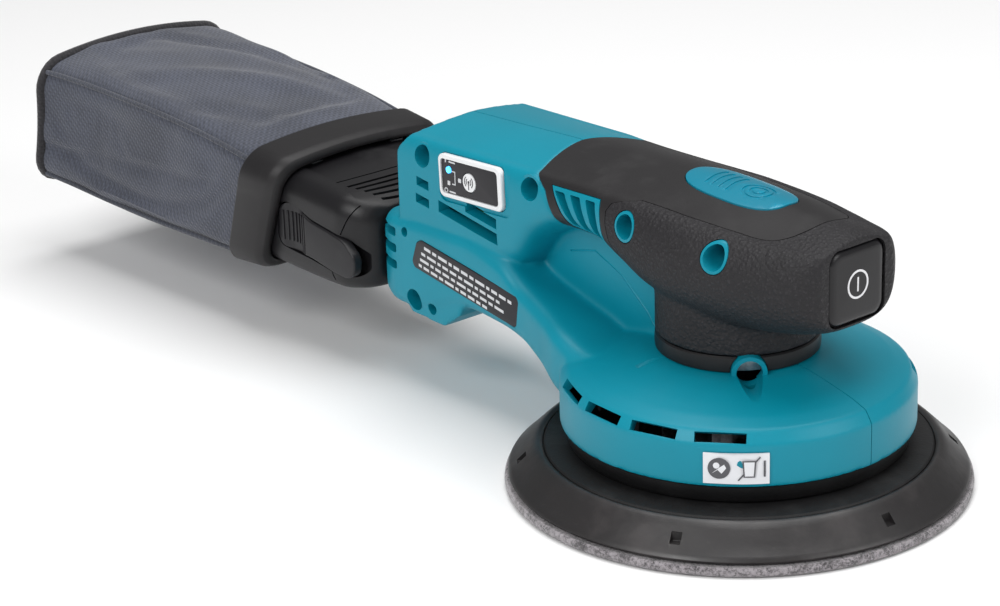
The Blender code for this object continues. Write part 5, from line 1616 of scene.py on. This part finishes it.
CAMERA_PLACE = (0.57724, -0.59036, 0.37035)
CAMERA_RIGHT = (0.65606, 0.75420, -0.02761)
CAMERA_UP = (-0.24889, 0.25075, 0.93551)
CAMERA_LENS = 100.2


def add_area_light(name, place, aim, size, power, colour=(1, 1, 1)):
    bpy.ops.object.light_add(type="AREA", location=place)
    lamp = bpy.context.object
    lamp.name = name
    lamp.data.size = size
    lamp.data.energy = power
    lamp.data.color = colour
    lamp.rotation_euler = (Vector(aim) - Vector(place)).to_track_quat("-Z", "Y").to_euler()
    return lamp


def make_stage(settings):
    deselect()
    bpy.ops.mesh.primitive_plane_add(size=14, location=(0, 0, -0.0005))
    floor = bpy.context.object
    floor.name = "floor"
    look, tree, shader, where = new_material("pale_floor", Roughness=0.8)
    cloud = in_range(tree, noise(tree, where.outputs["Object"], 3.0, 2.0), 0.3, 0.7)
    tone = settings.floor_tone
    tree.links.new(blend_colours(tree, cloud, (tone * 0.99,) * 3, (tone,) * 3), shader["Base Color"])
    floor.data.materials.append(look)
    world = bpy.context.scene.world or bpy.data.worlds.new("studio")
    bpy.context.scene.world = world
    world.use_nodes = True
    sky = world.node_tree.nodes["Background"]
    sky.inputs["Color"].default_value = (1, 1, 1, 1)
    seen = add_node(world.node_tree, "ShaderNodeLightPath").outputs["Is Camera Ray"]
    white = sum_up(world.node_tree, "MULTIPLY", seen, 1 - settings.sky)
    world.node_tree.links.new(sum_up(world.node_tree, "ADD", white, settings.sky), sky.inputs["Strength"])
    add_area_light("overhead_box", (-0.1, 0.2, 1.5), (-0.1, 0, 0.05), 1.3, settings.overhead)
    add_area_light("key_box", (0.25, -1.35, 1.05), (-0.08, 0, 0.05), 0.9, settings.key)
    add_area_light("front_box", (1.35, 0.35, 0.8), (0, 0, 0.06), 0.8, settings.fill)
    deselect()
    bpy.ops.object.camera_add()
    camera = bpy.context.object
    camera.data.lens = CAMERA_LENS
    camera.data.sensor_width = 36
    camera.data.clip_start = 0.02
    camera.data.clip_end = 60
    right, up = Vector(CAMERA_RIGHT), Vector(CAMERA_UP)
    turn = Matrix((right, up, right.cross(up))).transposed().to_4x4()
    camera.matrix_world = Matrix.Translation(CAMERA_PLACE) @ turn
    bpy.context.scene.camera = camera
    bpy.context.scene.view_settings.view_transform = "Standard"


# ---------------------------------------------------------------- what a user may change

def colour_setting(name, description, default):
    return FloatVectorProperty(name=name, description=description, subtype="COLOR", size=3, min=0, max=1,
                               default=default)


class SanderFinish(bpy.types.PropertyGroup):
    """Colours of the sander's visible parts."""
    body: colour_setting("Body", "Colour of the moulded housing", (0.0, 0.235, 0.325))
    grip: colour_setting("Grip", "Colour of the soft grip", (0.012, 0.011, 0.013))
    cover: colour_setting("Cover", "Colour of the smooth strip", (0.012, 0.011, 0.012))
    badge: colour_setting("Badge", "Colour of the inset plate", (0.0, 0.20, 0.30))
    cloth: colour_setting("Bag", "Colour of the bag's cloth", (0.052, 0.058, 0.080))
    collar: colour_setting("Collar", "Colour of the bag's frame", (0.013, 0.012, 0.013))
    dust_box: colour_setting("Dust box", "Colour of the dust box", (0.008, 0.0076, 0.009))
    foam: colour_setting("Foam", "Colour of the pad's rim", (0.013, 0.0115, 0.012))
    felt: colour_setting("Pile", "Colour of the pad's face", (0.19, 0.175, 0.185))


class SanderForm(bpy.types.PropertyGroup):
    """How finely the moulded parts are modelled."""
    voxel: FloatProperty(name="Skin cell", description="Cell size of the moulded skins, in millimetres",
                         default=0.8, min=0.3, max=2.0)
    softness: IntProperty(name="Softness", description="How many times moulded edges are relaxed", default=3,
                          min=0, max=20)
    most: IntProperty(name="Most triangles", description="Most triangles in one housing half",
                      default=190000,
                      min=20000, max=199000)


class SanderStage(bpy.types.PropertyGroup):
    """The floor and the lights."""
    floor_tone: FloatProperty(name="Floor", description="How light the floor is", default=0.92, min=0, max=1)
    sky: FloatProperty(name="Sky", description="Strength of the light from all round", default=0.26, min=0)
    overhead: FloatProperty(name="Overhead", description="Power of the box above", default=18, min=0,
                            unit="POWER")
    key: FloatProperty(name="Key", description="Power of the box at the panel's side", default=15, min=0,
                       unit="POWER")
    fill: FloatProperty(name="Fill", description="Power of the box in front", default=7, min=0, unit="POWER")


# ---------------------------------------------------------------- operators

class SANDER_OT_housing(bpy.types.Operator):
    """Build the two halves of the housing"""
    bl_idname = "sander.housing"
    bl_label = "Housing"

    def execute(self, context):
        finish, form = context.scene.sander_finish, context.scene.sander_form
        look = moulded_plastic("teal_plastic", finish.body, 0.4, grain=0.02, scale=1800.0, drift=0.05,
                               rub_and_highlight=0.12,
                               marks=0.15, Specular_IOR_Level=0.3)
        make_housing(look, form.voxel, form.softness, form.most)
        return {"FINISHED"}


class SANDER_OT_grip(bpy.types.Operator):
    """Build the grip, the smooth strip, the badge and the neck band"""
    bl_idname = "sander.grip"
    bl_label = "Grip"

    def execute(self, context):
        finish, form = context.scene.sander_finish, context.scene.sander_form
        cover = moulded_plastic("cover_plastic", finish.cover, 0.52, grain=0.035, scale=1300.0, drift=0.12,
                                rub_and_highlight=0.5,
                                marks=0.6)
        make_grip(grained_grip("grip_elastomer", finish.grip), cover, form.voxel, form.most)
        badge = moulded_plastic("badge_plastic", finish.badge, 0.35, grain=0.012, drift=0.05, marks=0.1)
        make_badge(badge)
        make_neck(moulded_plastic("sleeve_plastic", (0.009, 0.0085, 0.0095), 0.42, grain=0.03))
        return {"FINISHED"}


class SANDER_OT_pad(bpy.types.Operator):
    """Build the sanding pad and its brake ring"""
    bl_idname = "sander.pad"
    bl_label = "Pad"

    def execute(self, context):
        finish = context.scene.sander_finish
        plate = moulded_plastic("plate_nylon", (0.006, 0.006, 0.0065), 0.6, grain=0.12, scale=900.0,
                                drift=0.4, marks=0.5)
        make_pad(felt("hook_felt", finish.felt), cast_rubber("pad_foam", finish.foam), plate)
        make_brake_ring(moulded_plastic("ring_rubber", (0.007, 0.007, 0.0075), 0.42, grain=0.03))
        return {"FINISHED"}


class SANDER_OT_controls(bpy.types.Operator):
    """Build the control panel, the labels, the power button, the dial and the screws"""
    bl_idname = "sander.controls"
    bl_label = "Controls and labels"

    def execute(self, context):
        white = moulded_plastic("white_plastic", (0.80, 0.81, 0.82), 0.3, grain=0.008, drift=0.02, rub_and_highlight=0.0,
                                marks=0.1)
        film = moulded_plastic("panel_black", (0.017, 0.016, 0.019), 0.38, grain=0.01, drift=0.05, rub_and_highlight=0.0,
                               marks=0.1)
        pale = moulded_plastic("pale_print", (0.62, 0.63, 0.65), 0.5, grain=0.004, drift=0.03, rub_and_highlight=0.0,
                               marks=0.1)
        dark = moulded_plastic("dark_print", (0.05, 0.05, 0.055), 0.5, grain=0.004, drift=0.05, rub_and_highlight=0.0,
                               marks=0.1)
        sticker = moulded_plastic("sticker_white", (0.74, 0.75, 0.78), 0.45, grain=0.004, drift=0.02,
                                  rub_and_highlight=0.0, marks=0.2)
        grey = moulded_plastic("grey_print", (0.09, 0.09, 0.10), 0.5, grain=0.004, drift=0.05, rub_and_highlight=0.0,
                               marks=0.1)
        plate = moulded_plastic("plate_black", (0.017, 0.017, 0.021), 0.36, grain=0.01, drift=0.06, rub_and_highlight=0.0,
                                marks=0.3)
        button = moulded_plastic("button_black", (0.009, 0.0085, 0.010), 0.3, grain=0.02, drift=0.1,
                                 rub_and_highlight=0.4, marks=0.2)
        make_panel(white, film, lit_lens("lamp_lens", (0.05, 0.35, 0.95)), pale, dark)
        make_labels(plate, sticker, pale, grey)
        make_power_button(button, moulded_plastic("mark_white", (0.8, 0.8, 0.82), 0.4, grain=0.004,
                                                  drift=0.03, rub_and_highlight=0.0))
        make_speed_dial(button, pale)
        make_screws(metal("screw_steel", (0.10, 0.10, 0.105), 0.38))
        return {"FINISHED"}


class SANDER_OT_dust(bpy.types.Operator):
    """Build the dust box, its latches, the collar and the bag"""
    bl_idname = "sander.dust"
    bl_label = "Dust box and bag"

    def execute(self, context):
        finish = context.scene.sander_finish
        shell = moulded_plastic("box_plastic", finish.dust_box, 0.38, grain=0.03, drift=0.12, rub_and_highlight=0.6,
                                marks=0.5)
        lever = moulded_plastic("latch_plastic", (0.011, 0.0105, 0.0125), 0.36, grain=0.02, drift=0.1,
                                rub_and_highlight=0.3, marks=0.6)
        window = moulded_plastic("window_grey", (0.14, 0.14, 0.15), 0.35, grain=0.01, drift=0.05, rub_and_highlight=0.0)
        collar = moulded_plastic("collar_plastic", finish.collar, 0.46, grain=0.03, drift=0.08, rub_and_highlight=0.5,
                                 marks=0.4)
        make_dust_box(shell, window)
        make_latches(lever)
        make_collar(collar)
        make_bag(woven_cloth("bag_cloth", finish.cloth),
                 woven_cloth("seam_cloth", scaled_colour(finish.cloth, 0.7)),
                 woven_cloth("tape_cloth", (0.018, 0.017, 0.020)))
        return {"FINISHED"}


class SANDER_OT_inside(bpy.types.Operator):
    """Give the motor, drive, spring and electrics their materials"""
    bl_idname = "sander.inside"
    bl_label = "Motor and drive"

    def execute(self, context):
        steel = metal("shaft_steel", (0.55, 0.55, 0.57), 0.3, (1.0, 1.0, 12.0))
        coat(steel, "spindle_shaft", "lower_bearing", "upper_bearing", "eccentric_bearing",
             "latch_pin_right",
             "latch_pin_left")
        coat(metal("spring_steel", (0.5, 0.5, 0.52), 0.25), "power_button_spring")
        coat(metal("pad_screw_steel", (0.22, 0.22, 0.23), 0.36), "pad_bolt_1", "pad_bolt_2", "pad_bolt_3")
        coat(metal("iron_laminate", (0.28, 0.28, 0.3), 0.45, (1.0, 1.0, 20.0), 0.04), "stator_core", "rotor")
        coat(metal("copper_winding", (0.72, 0.33, 0.14), 0.35, (1.0, 1.0, 6.0), 0.08), "stator_winding")
        coat(metal("cast_aluminium", (0.6, 0.6, 0.62), 0.45, grain=0.05), "bearing_box", "pad_hub",
             "heat_sink")
        coat(metal("weight_zinc", (0.45, 0.45, 0.48), 0.5, grain=0.05), "counterweight")
        coat(moulded_plastic("fan_nylon", (0.03, 0.03, 0.034), 0.5, grain=0.04), "suction_fan")
        coat(moulded_plastic("circuit_board", (0.01, 0.12, 0.05), 0.4, drift=0.3), "control_board")
        coat(moulded_plastic("switch_black", (0.015, 0.015, 0.017), 0.4), "power_switch", "power_inlet")
        return {"FINISHED"}


class SANDER_OT_stage(bpy.types.Operator):
    """Lay the floor and set the lights and the camera"""
    bl_idname = "sander.stage"
    bl_label = "Stage"

    def execute(self, context):
        make_stage(context.scene.sander_stage)
        return {"FINISHED"}


BUILD_ORDER = (SANDER_OT_stage, SANDER_OT_pad, SANDER_OT_housing, SANDER_OT_grip, SANDER_OT_controls,
               SANDER_OT_dust, SANDER_OT_inside)


class SANDER_PT_build(bpy.types.Panel):
    """Buttons for each group of pieces, and their settings"""
    bl_idname = "SANDER_PT_build"
    bl_label = "Orbital sander"
    bl_space_type = "VIEW_3D"
    bl_region_type = "UI"
    bl_category = "Sander"

    def draw(self, context):
        for settings in (context.scene.sander_finish, context.scene.sander_form, context.scene.sander_stage):
            for name in settings.__annotations__:
                self.layout.prop(settings, name)
        for operator in BUILD_ORDER:
            self.layout.operator(operator.bl_idname)


CLASSES = (SanderFinish, SanderForm, SanderStage, *BUILD_ORDER, SANDER_PT_build)


def register():
    for cls in CLASSES:
        bpy.utils.register_class(cls)
    bpy.types.Scene.sander_finish = PointerProperty(type=SanderFinish)
    bpy.types.Scene.sander_form = PointerProperty(type=SanderForm)
    bpy.types.Scene.sander_stage = PointerProperty(type=SanderStage)


def unregister():
    del bpy.types.Scene.sander_stage
    del bpy.types.Scene.sander_form
    del bpy.types.Scene.sander_finish
    for cls in reversed(CLASSES):
        bpy.utils.unregister_class(cls)


def main():
    register()
    for operator in BUILD_ORDER:
        getattr(bpy.ops.sander, operator.bl_idname.split(".")[1])()


if __name__ == "__main__":
    main()
